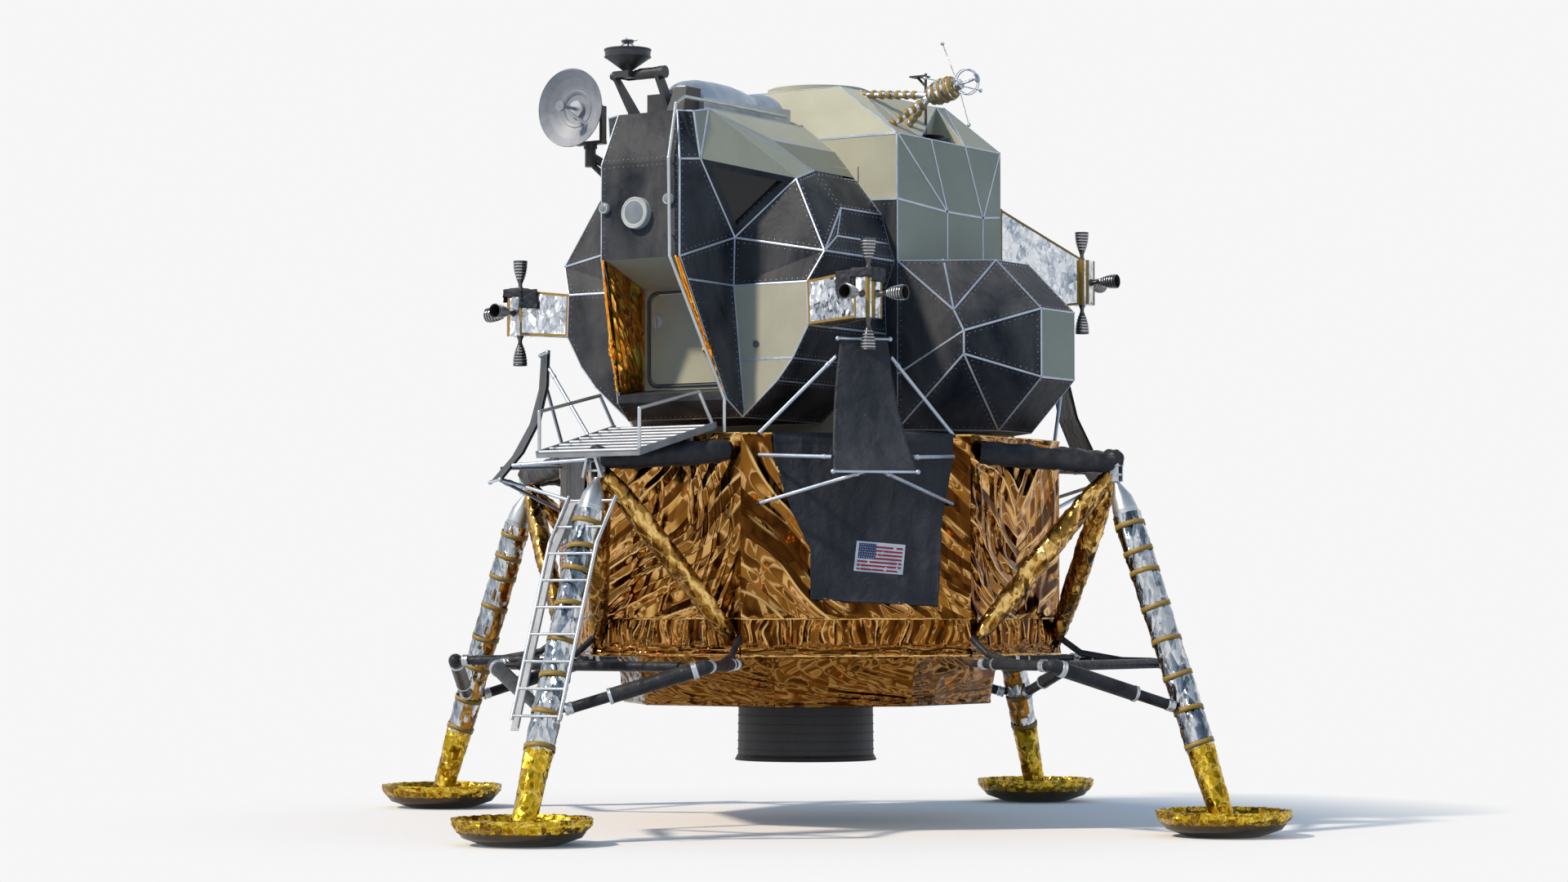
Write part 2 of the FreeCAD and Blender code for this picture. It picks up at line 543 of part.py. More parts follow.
# ---- cabin: nose and barrel, port half by named corners ----------------------------------------------
floor, roof = S["cabin_floor"], S["cabin_roof"]
front, back = -S["cabin_front"], -S["cabin_back"]
nose = -S["nose_front"]
C = {
    # centre line: a front to back along the roof, then the floor
    "F2m": (0, nose + 105, 6060), "F1m": (0, nose, 5634), "F0m": (0, nose, 4820), "Lm": (0, -2078, 3640),
    "R5m": (0, front, floor), "Bfm": (0, back, floor), "Brm": (0, back, roof), "RLm": (0, -2030, roof),
    # nose
    "F2": (S["nose_half"] - 98, nose + 105, 6060), "F1": (S["nose_half"], nose, 5634),
    "F0": (S["nose_half"], nose, 4820), "L": (564, -2078, 3640),
    "C1": (440, -2390, 6050), "Pk": (500, -2258, 6077), "C2": (460, -2320, 5653), "C3": (510, front, 5022),
    "C4": (500, front, 4615), "C5": (604, front, floor + 86),
    # front ring
    "R5": (592, front, floor), "R4": (945, front, 3795), "R3": (1100, front, 3980), "R2": (1255, front, 4250),
    "R1": (1240, front, 4615), "R10": (1355, -1785, 4875),
    # slopes round the window
    "AP": (1002, -1680, 5515), "R6": (930, -1296, 5620), "R8": (1210, -1307, 5284), "R9": (1285, -1486, 5026),
    "RL2": (726, -1604, 5861), "RL1": (400, -2030, roof),
    # rear end
    "b5": (592, back, floor), "b4": (945, back, 3795), "b3": (1100, back, 3980), "b2": (1255, back, 4250),
    "b1": (1240, back, 4615), "b10": (1340, back, 4875), "b9": (1285, back, 5026), "b8": (1210, back, 5284),
    "b6": (930, back, 5620), "c2": (726, back, 5861), "c1": (400, back, roof),
}
CABIN_FACES = [
    "F2m F1m F1 F2", "F1m F0m F0 F1", "F0m Lm L F0",
    "F2 F1 C2", "F2 C2 C1", "C1 C2 Pk", "F1 F0 C3", "F1 C3 C2", "F0 C4 C3", "F0 L C5", "F0 C5 C4",
    "Lm R5m R5 L", "L R5 C5",
    "C4 C5 R1", "C5 R5 R4 R3 R2 R1", "C3 C4 R10", "C4 R1 R10", "C3 R10 AP", "C3 AP C2",
    "C2 AP Pk", "AP R6 Pk", "AP R10 R8", "AP R8 R6", "R10 R9 R8",
    "F2m F2 C1", "F2m C1 RL1", "F2m RL1 RLm", "C1 Pk RL1", "Pk RL2 RL1", "Pk R6 RL2",
    "RLm RL1 c1 Brm", "RL1 RL2 c2 c1", "RL2 R6 b6 c2", "R6 R8 b8 b6", "R8 R9 b9 b8",
    "R9 R10 b10", "R9 b10 b9", "R10 R1 b1", "R10 b1 b10", "R1 R2 b2 b1", "R2 R3 b3 b2", "R3 R4 b4 b3",
    "R4 R5 b5 b4", "R5 R5m Bfm b5",
    "Bfm Brm c1 c2 b6 b8 b9 b10 b1 b2 b3 b4 b5",
    "F2m RLm Brm Bfm R5m Lm F0m F1m",
]
cabin_half = facets(C, CABIN_FACES)
cabin_outer = fuse([cabin_half, mirrored(cabin_half)])

# recess in front of the hatch, hatch opening and hollow inside
wall_y = -S["hatch_wall"]
recess_corners = {}
for side, tag in ((-1, "s"), (1, "p")):
    recess_corners.update({
        tag + "ft": (side * 372, nose - 60, 4838), tag + "fb": (side * 535, -2110, 3706),
        tag + "bt": (side * 480, wall_y, 4622), tag + "bb": (side * 480, wall_y, 3756)})
recess = facets(recess_corners, ["sft pft pfb sfb", "sbt pbt pbb sbb", "sft pft pbt", "sft pbt sbt",
                                 "sfb pfb pbb", "sfb pbb sbb", "sft sfb sbb", "sft sbb sbt",
                                 "pft pfb pbb", "pft pbb pbt"])
recess_mouth = box((-540, nose - 200, 3706), (540, -2112, 4836))
recess_mouth = facets({"a": (-535, -2110, 3706), "b": (535, -2110, 3706), "c": (372, nose - 60, 4838),
                       "d": (-372, nose - 60, 4838), "e": (-535, nose - 60, 3706), "f": (535, nose - 60, 3706)},
                      ["a b c d", "a b f e", "c d e f", "a d e", "b c f"])
heart = V(0, -900, 4750)
hollow = cabin_outer.copy()
hollow.scale(S["wall_share"], heart)
solid_front = box((-620, -3000, 3000), (620, wall_y + S["hatch_wall_thick"], 4900))
hollow = hollow.cut(solid_front)
doorway = box((-950, back - 200, 4000), (950, back + 10, 5700))


def rounded_plate(low_x, high_x, low_z, high_z, corner_radius, y, depth):
    """Upright plate with rounded corners, its front at y and its depth aft."""
    plate = box((low_x, y, low_z), (high_x, y + depth, high_z))
    upright = [e for e in plate.Edges if abs(abs(e.tangentAt(e.FirstParameter).y) - 1) < 1e-6]
    return plate.makeFillet(corner_radius, upright)


hatch_hole = rounded_plate(-S["hatch_half"], S["hatch_half"], S["hatch_low"], S["hatch_top"],
                           S["hatch_corner"], wall_y - 20, S["hatch_wall_thick"] + 40)


def window_prism(inset, near, far):
    """Three-sided prism through the port window's slanted wall."""
    tri = [V(*C[n]) for n in ("C2", "AP", "C3")]
    middle = (tri[0] + tri[1] + tri[2]) * (1.0 / 3)
    normal = (tri[1] - tri[0]).cross(tri[2] - tri[0])
    normal.normalize()
    if normal.y > 0:
        normal = normal * -1
    lead = [p + (middle - p) * inset for p in tri]
    loop = [p + normal * far for p in lead]
    return Part.Face(Part.makePolygon(loop + loop[:1])).extrude(normal * (near - far))


window_hole = window_prism(0.26, 60, -330)
glass = window_prism(0.262, -58, -66)
cabin = cabin_outer.cut(recess).cut(recess_mouth).cut(hollow).cut(doorway).cut(hatch_hole)
cabin = cabin.cut(window_hole).cut(mirrored(window_hole))
hinge_x, hinge_y = -S["hatch_half"] - 30, wall_y + S["hatch_wall_thick"] + 24
hinge_z = (S["hatch_low"] + 130, S["hatch_top"] - 210)
ears = [box((hinge_x - 14, wall_y + S["hatch_wall_thick"] - 2, low), (hinge_x + 14, hinge_y + 14, low + 20))
        for z in hinge_z for low in (z - 20 - S["play"], z + 80 + S["play"])]
feature("cabin_shell", fuse([cabin] + ears))
feature("cabin_windows", Part.makeCompound([glass, mirrored(glass)]))
door = rounded_plate(-S["hatch_half"] + S["hatch_gap"], S["hatch_half"] - S["hatch_free_gap"],
                     S["hatch_low"] + S["hatch_gap"], S["hatch_top"] - S["hatch_gap"],
                     S["hatch_corner"] - S["hatch_gap"], wall_y, S["hatch_thick"])
knuckles = []
for z in hinge_z:
    knuckles.append(rod((hinge_x, hinge_y, z), (hinge_x, hinge_y, z + 80), 14))
    knuckles.append(box((hinge_x, hinge_y - 8, z), (-S["hatch_half"] + 90, hinge_y + 8, z + 80)))
    knuckles.append(box((-S["hatch_half"] + 40, wall_y + S["hatch_thick"] - 5, z), (-S["hatch_half"] + 90, hinge_y + 8, z + 80)))
feature("forward_hatch", fuse([door] + knuckles))

# ---- midsection with its roof block, and the docking tunnel --------------------------------------------
mid, aft = S["mid_half"], S["mid_back"]
eave, ridge = S["mid_eave"], S["ridge_height"]
M = {
    "lfm": (0, back, S["mid_low"]), "lf": (mid, back, S["mid_low"]), "lb": (mid, aft, S["mid_low"]),
    "lbm": (0, aft, S["mid_low"]),
    "efm": (0, back, eave), "ef": (mid, back, eave), "eb": (mid, aft, eave), "ebm": (0, aft, eave),
    "A": (528, back + 400, ridge), "Am": (0, back + 400, ridge), "N": (686, -150, ridge - 42),
    "A2": (1064, 500, ridge - 145), "A3": (972, 800, ridge - 108), "A3m": (0, 800, ridge),
    "H": (mid, -252, eave), "G": (mid, 496, eave), "K": (1000, 500, eave),
}
mid_half_shape = facets(M, [
    "lfm lf ef efm", "lf lb eb G H ef", "lb lbm ebm eb", "lfm lf lb lbm",
    "efm ef A Am", "ef H N", "ef N A", "H K A2", "H A2 N", "H G K", "G A2 K", "G eb A3", "G A3 A2",
    "Am A N", "Am N A2", "Am A2 A3", "Am A3 A3m", "eb ebm A3m", "eb A3m A3", "lfm efm Am A3m ebm lbm"])
midsection = fuse([mid_half_shape, mirrored(mid_half_shape)])
hold = box((-950, back - 1, 4000), (950, 850, 5700)).fuse(box((-500, -300, 5690), (500, 850, 5766)))
tunnel_axis = V(0, S["tunnel_y"], 0)
ring_outer = S["tunnel_radius"] + S["tunnel_wall"]
tunnel_hole = Part.makeCylinder(ring_outer, 1500, V(0, S["tunnel_y"], 5650))
ascent_engine = Part.makeCylinder(340, 560, V(0, 200, S["mid_low"] + 600 - 560))
feature("midsection", midsection.cut(hold).cut(tunnel_hole))
lid_radius = S["tunnel_radius"] - S["lid_gap"]
lid_low = S["tunnel_low"] - S["lid_thick"] - 6
lid_hinge_y, lid_hinge_z = S["tunnel_y"] + ring_outer - 40, S["tunnel_low"] - 20
tunnel = lathe([(S["tunnel_radius"], S["tunnel_low"]), (ring_outer, S["tunnel_low"]),
                (ring_outer, S["tunnel_top"]), (S["tunnel_radius"], S["tunnel_top"])])
tunnel.translate(tunnel_axis)
lugs = [box((side * 85 - 10, lid_hinge_y - 20, lid_hinge_z - 18), (side * 85 + 10, lid_hinge_y + 20, S["tunnel_low"]))
        for side in (-1, 1)]
pin_hole = rod((-100, lid_hinge_y, lid_hinge_z), (100, lid_hinge_y, lid_hinge_z), 10.05)
feature("docking_tunnel", fuse([tunnel] + lugs).cut(pin_hole))
lid = Part.makeCylinder(lid_radius + 14, S["lid_thick"], V(0, S["tunnel_y"], lid_low))
for side in (-1, 1):
    lid = lid.cut(box((side * 85 - 16, lid_hinge_y - 28, lid_low - 1), (side * 85 + 16, lid_hinge_y + 40, lid_low + 60)))
lid_arm = box((-60, S["tunnel_y"] + lid_radius - 60, lid_low + 4), (60, lid_hinge_y + 6, lid_low + 34))
lid_web = box((-60, lid_hinge_y - 10, lid_low + 4), (60, lid_hinge_y + 10, lid_hinge_z))
lid_pin = rod((-98, lid_hinge_y, lid_hinge_z), (98, lid_hinge_y, lid_hinge_z), 10)
feature("overhead_hatch", fuse([lid, lid_arm, lid_web, lid_pin]))

# ---- tank bays: port half by named corners, the starboard bay reaches less far ---------------------------
middle_y = 235.0


def tank_bay(reach):
    """Flat-faced tank bay on the port wall; reach scales how far it stands out."""
    out = lambda x: mid + (x - mid) * reach
    T = {}
    for tag, flip in (("f", 1), ("r", -1)):
        y = lambda v: middle_y + (v - middle_y) * flip
        T.update({
            tag + "1": (mid, y(back), 4880), tag + "2": (out(1930), y(back), 4430),
            tag + "3": (out(2030), y(back), 4250), tag + "4": (out(2030), y(back), 4050),
            tag + "5": (mid, y(back), 3420), tag + "t": (out(2000), y(-50), 4900),
            tag + "u": (out(2450), y(-55), 4460), tag + "w": (out(2450), y(-55), 3870),
            tag + "v": (out(2020), y(-50), 3420)})
    T["top"] = (mid, middle_y, 4920)
    faces = ["ft rt top", "ft fu ru rt", "fu fw rw ru", "fw fv rv rw", "fv f5 r5 rv", "f1 top r1 r5 f5"]
    for tag in ("f", "r"):
        faces += [" ".join(tag + n if n != "top" else n for n in face.split()) for face in (
            "1 2 3 4 5", "1 t top", "1 2 t", "2 u t", "2 3 u", "3 4 w u", "4 v w", "4 5 v")]
    return facets(T, faces)


feature("tank_bay_port", tank_bay(1.0))
feature("tank_bay_starboard", mirrored(tank_bay(0.63)))

# ---- aft equipment bay ----------------------------------------------------------------------------------
half_bay, rear = S["bay_half"], S["bay_back"]
bay_rows = []
for y in (aft, rear):
    bay_rows.append([V(-half_bay, y, 3900), V(half_bay, y, 3900), V(half_bay, y, 5300),
                     V(half_bay - 300, y, 5820), V(-half_bay + 300, y, 5820), V(-half_bay, y, 5300)])
bay = stacked(bay_rows)
feature("aft_bay", bay)

# ---- roof fairing in front of the roof block ---------------------------------------------------------------
coaming = stacked([[V(-265, -1985, roof), V(265, -1985, roof), V(265, -1985, roof + 118), V(-265, -1985, roof + 118)],
                   [V(-265, back, roof), V(265, back, roof), V(265, back, roof + 158), V(-265, back, roof + 158)]])
VAULT = [  # place along Y, radius
    (-1985, 150), (-1960, 205), (-1900, 252), (-1780, 276), (-1550, 283), (-1350, 280), (-1180, 262),
    (-1040, 232), (-955, 212), (-945, 222), (-900, 252), (-800, 268), (-720, 264), (-675, 240), (back, 205)]
vault = lathe([(0, VAULT[0][0])] + [(r, y) for y, r in VAULT] + [(0, VAULT[-1][0])])
vault.Placement = FreeCAD.Placement(V(0, 0, S["vault_axis"]), FreeCAD.Rotation(V(0, 0, 1), V(0, 1, 0)))
vault = vault.common(box((-262, -2300, roof + 60), (262, back, roof + 900)))
vaults = fuse([coaming, vault])
feature("roof_fairing", vaults)

# ---- thruster clusters --------------------------------------------------------------------------------------
THRUSTERS = [  # direction the mouth points, distance of its foot from the cluster's middle
    ((0, 0, 1), 196), ((0, 0, -1), 196), ((1, 0, 0), 94), ((0, -1, 0), 99)]
THRUSTER_BELL = [  # radius, height over the foot
    (34, 0), (17, 42), (17, 66), (27, 92), (41, 130), (52, 172), (58, 216), (60, 264)]


def thruster(direction, foot):
    """Hollow ribbed bell standing on the block."""
    inner = [(max(r - 5, 6), z) for r, z in reversed(THRUSTER_BELL[3:])]
    bell = lathe([(0, 0)] + THRUSTER_BELL + inner + [(0, 92)])
    bell.Placement = FreeCAD.Placement(V(*direction) * foot, FreeCAD.Rotation(V(0, 0, 1), V(*direction)))
    return bell


def cluster(boom):
    """Port-front cluster about its own middle: block, four nozzles and its boom."""
    block = box((-95, -100, -200), (95, 100, 200))
    upright = [e for e in block.Edges if abs(abs(e.tangentAt(e.FirstParameter).z) - 1) < 1e-6]
    block = block.makeChamfer(38, upright)
    return fuse([block, boom] + [thruster(d, foot) for d, foot in THRUSTERS])


front_boom = stacked([[V(-620, -47, -234), V(-620, 330, -234), V(-620, 330, 131), V(-620, -47, 131)],
                      [V(-60, -90, -195), V(-60, 90, -195), V(-60, 90, 195), V(-60, -90, 195)]])
quad = cluster(front_boom)
quad.translate(V(S["quad_x"], -S["quad_y"], S["quad_front_z"]))
quad = quad.cut(cabin_outer)
# the aft boom leaves the midsection's corner: its mirror image is laid out in front of the centre line
aft_boom = stacked([[V(-700, 707, -300), V(-446, 707, -300), V(-446, 707, 640), V(-700, 707, 640)],
                    [V(-95, 50, -195), V(60, 50, -195), V(60, 50, 195), V(-95, 50, 195)]])
aft_quad = cluster(aft_boom)
aft_quad.translate(V(S["quad_x"], -S["quad_y"], S["quad_aft_z"]))
port_bay = tank_bay(1.0)
aft_quad = fore_aft(aft_quad).cut(midsection).cut(port_bay).cut(bay)
feature("rcs_port_front", quad)
feature("rcs_starboard_front", mirrored(quad))
feature("rcs_port_aft", aft_quad)
feature("rcs_starboard_aft", mirrored(aft_quad))


def dish(radius, depth, wall, steps=5):
    """Shallow bowl, vertex at the origin, mouth up."""
    bowl = [(radius * i / steps, depth * (i / steps) ** 2) for i in range(steps + 1)]
    under = [(r, z - wall) for r, z in reversed(bowl)]
    return lathe(bowl + under)


# ---- rendezvous radar over the nose ---------------------------------------------------------------------------
radar_x, radar_y, radar_z = -400, -2170, S["radar_z"]


def leg_plate(low_x, high_x, foot_x, foot_y, half_top, half_foot, boss=0):
    """Upright plate from the roof to the radar's axis, wide fore and aft."""
    rows = []
    for z, shift, y, half_width in ((radar_z, 0, radar_y, half_top), (radar_z - 330, foot_x, foot_y, half_foot)):
        rows.append([V(low_x + shift, y - half_width, z), V(high_x + shift, y - half_width, z),
                     V(high_x + shift, y + half_width, z), V(low_x + shift, y + half_width, z)])
    eye = rod((low_x, radar_y, radar_z), (high_x + boss, radar_y, radar_z), half_top + 4)
    return fuse([stacked(rows), eye])


mount = [leg_plate(-545, -515, 84, -1985, 38, 82, boss=10), leg_plate(-105, -65, 95, -2105, 46, 60),
         rod((-66, radar_y, radar_z), (-5, radar_y, radar_z), 54),
         rod((-572, radar_y, radar_z), (-544, radar_y, radar_z), 26),
         stacked([[V(30, -2230, 6050), V(215, -2230, 6050), V(215, -2170, 6300), V(90, -2170, 6300)],
                  [V(30, -1960, 6050), V(215, -1960, 6050), V(215, -1960, 6300), V(90, -1960, 6300)]]),
         box((-230, -2120, 6050), (-20, -1990, 6262))]
feature("radar_mount", fuse(mount).cut(cabin_outer).cut(vaults))
arm = S["radar_arm"]
yoke = [rod((-505 + S["play"], radar_y, radar_z), (-452, radar_y, radar_z), 30),
        box((-470, radar_y - arm - 22, radar_z - 30), (-452, radar_y + arm + 22, radar_z + 26)),
        box((-345, radar_y - arm - 22, radar_z - 30), (-315, radar_y + arm + 22, radar_z + 26)),
        box((-470, radar_y - arm - 22, radar_z - 30), (-315, radar_y - arm, radar_z + 26)),
        box((-470, radar_y + arm, radar_z - 30), (-315, radar_y + arm + 22, radar_z + 26)),
        rod((-316, radar_y, radar_z), (-260, radar_y, radar_z), 40),
        rod((-270, radar_y, radar_z), (-105 - S["play"], radar_y, radar_z), 48)]
yoke = fuse(yoke).cut(box((-452, radar_y - arm, radar_z - 60), (-345, radar_y + arm, radar_z + 60)))
feature("radar_yoke", yoke)
pin = arm - S["play"]
DISH = [  # radius, height over the pins: outside up to the rim, then down the bowl
    (0, -24), (34, -24), (34, 34), (58, 52), (195, 152), (197, 222), (187, 222), (184, 168), (120, 118), (0, 96)]
radar = [lathe(DISH), rod((0, -pin, 0), (0, pin, 0), 16)]
for turn in (0, 120, 240):
    a = math.radians(turn)
    radar.append(rod((165 * math.cos(a), 165 * math.sin(a), 145), (20 * math.cos(a), 20 * math.sin(a), 284), 6))
radar.append(Part.makeCylinder(38, 18, V(0, 0, 276)))
radar_dish = fuse(radar)
radar_dish.translate(V(radar_x, radar_y, radar_z))
feature("radar_dish", radar_dish)

# ---- steerable dish on the starboard side ------------------------------------------------------------------------
sx, sy, sz = -1200, -1620, S["sband_z"]
sband_mount = [rod((-880, -1150, 5560), (sx, sy, 5860), 38), rod((-900, -1120, 5300), (sx, sy, 5800), 26),
               rod((sx, sy, 5760), (sx, sy, 5920), 48)]
feature("sband_mount", fuse(sband_mount).cut(cabin_outer))
feature("sband_yoke", fuse([
    rod((sx, sy, 5920 + S["play"]), (sx, sy, 5960), 60), box((sx - 150, sy - 40, 5955), (sx + 150, sy + 40, 5985)),
    box((sx - 150, sy - 34, 5970), (sx - 122, sy + 34, sz + 40)),
    box((sx + 122, sy - 34, 5970), (sx + 150, sy + 34, sz + 40))]))
bowl = dish(S["sband_radius"], 120, 12)
bowl.rotate(V(0, 0, 0), V(1, 0, 0), 90)
bowl.translate(V(0, -180, 0))
sband = [bowl, rod((S["play"] - 122, 0, 0), (122 - S["play"], 0, 0), 22), box((-80, -70, -70), (80, 70, 70)),
         rod((0, -60, 0), (0, -175, 0), 55, 70), rod((0, -175, 0), (0, -430, 0), 16),
         rod((0, -420, 0), (0, -450, 0), 45)]
sband_dish = fuse(sband)
sband_dish.translate(V(sx, sy, sz))
feature("sband_dish", sband_dish)

# ---- small aerials on the port roof -------------------------------------------------------------------------------
hub = V(1470, -250, 6345)
tip = V(1715, -250, 6408)
lean = tip - hub
lean.normalize()
drum = spindle((hub - lean * 30)[:], tip[:], [(0, 52), (0.16, 88), (0.5, 104), (0.86, 100), (1, 78)])
aerial = [drum, rod((690, -170, 6425), hub[:], 30), rod((1200, -500, 6075), hub[:], 30),
          rod((1180, -190, 6090), (hub - lean * 15)[:], 30),
          rod(tip[:], (tip + lean * 60)[:], 46), rod((tip + lean * 40)[:], (tip + lean * 215)[:], 12),
          rod((tip + lean * 215)[:], (tip + lean * 227)[:], 42)]
WHIPS = [  # outer end of each whip
    (1585, -250, 6790), (1850, -250, 6060), (1490, -390, 6480), (1915, -160, 6365)]
for end in WHIPS:
    aerial += [rod((tip + lean * 30)[:], end, 5), Part.makeSphere(17, V(*end))]
feature("tripod_antenna", fuse(aerial).cut(midsection))
mast = [rod((1237, 40, eave - 5), (1237, 40, eave + 602), 12), Part.makeCone(34, 14, 60, V(1237, 40, eave)),
        box((1100, -15, eave + 570), (1250, 95, eave + 584)), rod((1150, 40, eave + 575), (1237, 40, eave + 490), 11),
        Part.makeCone(112, 96, 46, V(1243, 290, eave + 0.5)), box((1225, 30, eave + 1), (1249, 300, eave + 20))]
feature("umbrella_antenna", fuse(mast).cut(midsection))

# ---- handrail, lamps --------------------------------------------------------------------------------------------------
hand = bent_tube([
    (584, 17 - S["stage_half"], S["mid_low"] - S["deck_gap"] + 5), (584, 17 - S["stage_half"], 3640), (345, nose - 60, 4820),
    (333, nose - 60, 5640), (333, nose + 45, 6110), (333, nose + 180, 6180), (333, -820, 6180)], 14)
stays = [rod((336, nose - 60, z), (336, nose + 4, z), 9) for z in (5000, 5600)]
feature("cabin_handrail", fuse([hand] + stays).cut(cabin_outer).cut(vaults))
lamps = []
for x, z, radius, depth in ((-20, 5200, 132.5, 60), (-360, 5260, 45, 30), (300, 5300, 45, 30)):
    lamps.append(rod((x, nose - depth, z), (x, nose + 1, z), radius))
feature("front_lights", Part.makeCompound([one.cut(cabin_outer) for one in lamps]))

# ---- check and write -----------------------------------------------------------------------------------------------------
doc.recompute()
bad = [o.Label for o in doc.Objects if "Invalid" in o.State or "Error" in o.State]
bad += [n.Label for n in nodes if n.Shape.isNull() or not n.Shape.isValid()]
if bad:
    raise SystemExit("failed: " + ", ".join(bad))
os.makedirs("parts", exist_ok=True)
for node in nodes:
    node.Shape.exportStep("parts/%s.step" % node.Label)
print(len(nodes), "nodes,", round(sum(n.Shape.Volume for n in nodes) / 1e9, 2), "cubic metres")
for node in nodes:
    low, high = node.Shape.BoundBox, node.Shape.BoundBox
    print("%-22s solids %2d  x %7.0f %7.0f  y %7.0f %7.0f  z %7.0f %7.0f" % (
        node.Label, len(node.Shape.Solids), low.XMin, high.XMax, low.YMin, high.YMax, low.ZMin, high.ZMax))
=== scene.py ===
# %% [markdown]
# # Lunar lander, dressed for its portrait
# The solid model arrives as a fixed frame: every node sits at the origin with its place in its mesh.
# This lesson gives each node a real finish and adds the thin things that solids leave out:
# crinkled foil, tape bands, edge strips, rivets, wrinkled blankets and porch slats.
# Everything is in metres: +X is port, -Y is forward, +Z is up, and the floor is z = 0.

# %% Load the frame
import math
import bmesh
import bpy
from mathutils import Matrix, Vector, noise


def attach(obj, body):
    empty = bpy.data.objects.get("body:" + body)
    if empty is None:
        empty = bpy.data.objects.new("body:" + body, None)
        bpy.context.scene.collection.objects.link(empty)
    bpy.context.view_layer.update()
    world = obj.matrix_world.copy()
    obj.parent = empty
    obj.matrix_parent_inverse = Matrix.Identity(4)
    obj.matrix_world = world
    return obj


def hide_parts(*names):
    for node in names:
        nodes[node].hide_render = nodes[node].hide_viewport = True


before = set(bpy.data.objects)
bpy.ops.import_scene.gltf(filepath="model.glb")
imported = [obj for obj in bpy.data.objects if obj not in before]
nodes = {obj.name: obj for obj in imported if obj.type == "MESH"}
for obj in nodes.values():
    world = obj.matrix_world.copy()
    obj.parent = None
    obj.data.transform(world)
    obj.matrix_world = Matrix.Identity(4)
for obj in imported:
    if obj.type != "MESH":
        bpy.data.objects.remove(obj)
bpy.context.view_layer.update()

# %% [markdown]
# ## Camera
# The eye stands low, about shoulder height, some thirty metres off the port bow, and looks slightly up
# through a long lens. A camera looks along its own -Z, so its matrix has the columns right, up, back.

# %% Camera
EYE = Vector((18.0545, -27.6738, 1.8725))
TURN, RISE = math.radians(33.1206 + 0.3357), math.radians(2.6179)
ahead = Vector((-math.sin(TURN) * math.cos(RISE), math.cos(TURN) * math.cos(RISE), math.sin(RISE)))
right = Vector((math.cos(TURN), math.sin(TURN), 0))
camera = bpy.data.objects.new("camera", bpy.data.cameras.new("camera"))
camera.data.lens = 4530.08 * 36 / 1920
camera.data.clip_end = 300
camera.matrix_world = Matrix.Translation(EYE) @ Matrix((right, right.cross(ahead), -ahead)).transposed().to_4x4()
bpy.context.scene.collection.objects.link(camera)
bpy.context.scene.camera = camera
print("lens", round(camera.data.lens, 2), "mm")

# %% [markdown]
# ## Material kit
# A finish is a small graph of nodes round one Principled shader. Patterns read Object coordinates,
# which here are metres on the lander, so a pattern stays put when a joint moves its body.

# %% Node helpers
def finish(name, metallic=0.0, roughness=0.5):
    """A new material: returns (material, tree, shader)."""
    material = bpy.data.materials.new(name)
    material.use_nodes = True
    tree = material.node_tree
    shader = tree.nodes["Principled BSDF"]
    shader.inputs["Metallic"].default_value = metallic
    shader.inputs["Roughness"].default_value = roughness
    return material, tree, shader


def add(tree, kind, **values):
    """A node with some of its settings and sockets filled in."""
    node = tree.nodes.new("ShaderNode" + kind)
    for key, value in values.items():
        socket = next((s for s in node.inputs if s.name == key.replace("_", " ")), None)
        if hasattr(node, key) and (socket is None or key in ("operation", "blend_type", "data_type")):
            setattr(node, key, value)
        else:
            socket.default_value = value
    return node


def place(tree, scale=(1, 1, 1), turn=(0, 0, 0)):
    """Object coordinates, turned and stretched."""
    mapping = add(tree, "Mapping", Scale=scale, Rotation=[math.radians(a) for a in turn])
    tree.links.new(add(tree, "TexCoord").outputs["Object"], mapping.inputs["Vector"])
    return mapping.outputs["Vector"]


def ramp(tree, source, stops, steps=False):
    """Colours along a value."""
    node = add(tree, "ValToRGB")
    if steps:
        node.color_ramp.interpolation = "CONSTANT"
    points = node.color_ramp.elements
    while len(points) < len(stops):
        points.new(1.0)
    for point, (at, colour) in zip(points, stops):
        point.position = at
        point.color = (*colour, 1)
    tree.links.new(source, node.inputs["Fac"])
    return node.outputs["Color"]


def plug(tree, node, values):
    """Fill sockets by number or name; a value may be another node's socket, a number or a tuple."""
    for number, value in values.items():
        if isinstance(value, bpy.types.NodeSocket):
            tree.links.new(value, node.inputs[number])
        else:
            node.inputs[number].default_value = value
    return node


def mixed(tree, factor, first, second, way="MIX"):
    """Two colours mixed by a factor; each may be a socket or a plain value."""
    first, second = [(*c, 1) if isinstance(c, tuple) else c for c in (first, second)]
    node = add(tree, "Mix", data_type="RGBA", blend_type=way)
    return plug(tree, node, {0: factor, 6: first, 7: second}).outputs[2]


def value_of(tree, operation, first, second=0.0, third=0.0):
    """One sum on values."""
    return plug(tree, add(tree, "Math", operation=operation), {0: first, 1: second, 2: third}).outputs[0]


def vector_of(tree, operation, *values):
    """One sum on vectors: the node, since a length or dot product leaves by its second output."""
    return plug(tree, add(tree, "VectorMath", operation=operation), dict(enumerate(values)))


def speckle(tree, scale, vector=None, detail=4, rough=0.55, warp=0.0):
    """A noise value over the object."""
    node = add(tree, "TexNoise", Scale=scale, Detail=detail, Roughness=rough, Distortion=warp)
    tree.links.new(vector or place(tree), node.inputs["Vector"])
    return node.outputs["Fac"]


def relief(tree, shader, heights, depth=0.01, strength=0.6):
    """Bump from a height value."""
    bump = add(tree, "Bump", Strength=strength, Distance=depth)
    tree.links.new(heights, bump.inputs["Height"])
    tree.links.new(bump.outputs["Normal"], shader.inputs["Normal"])
    return bump


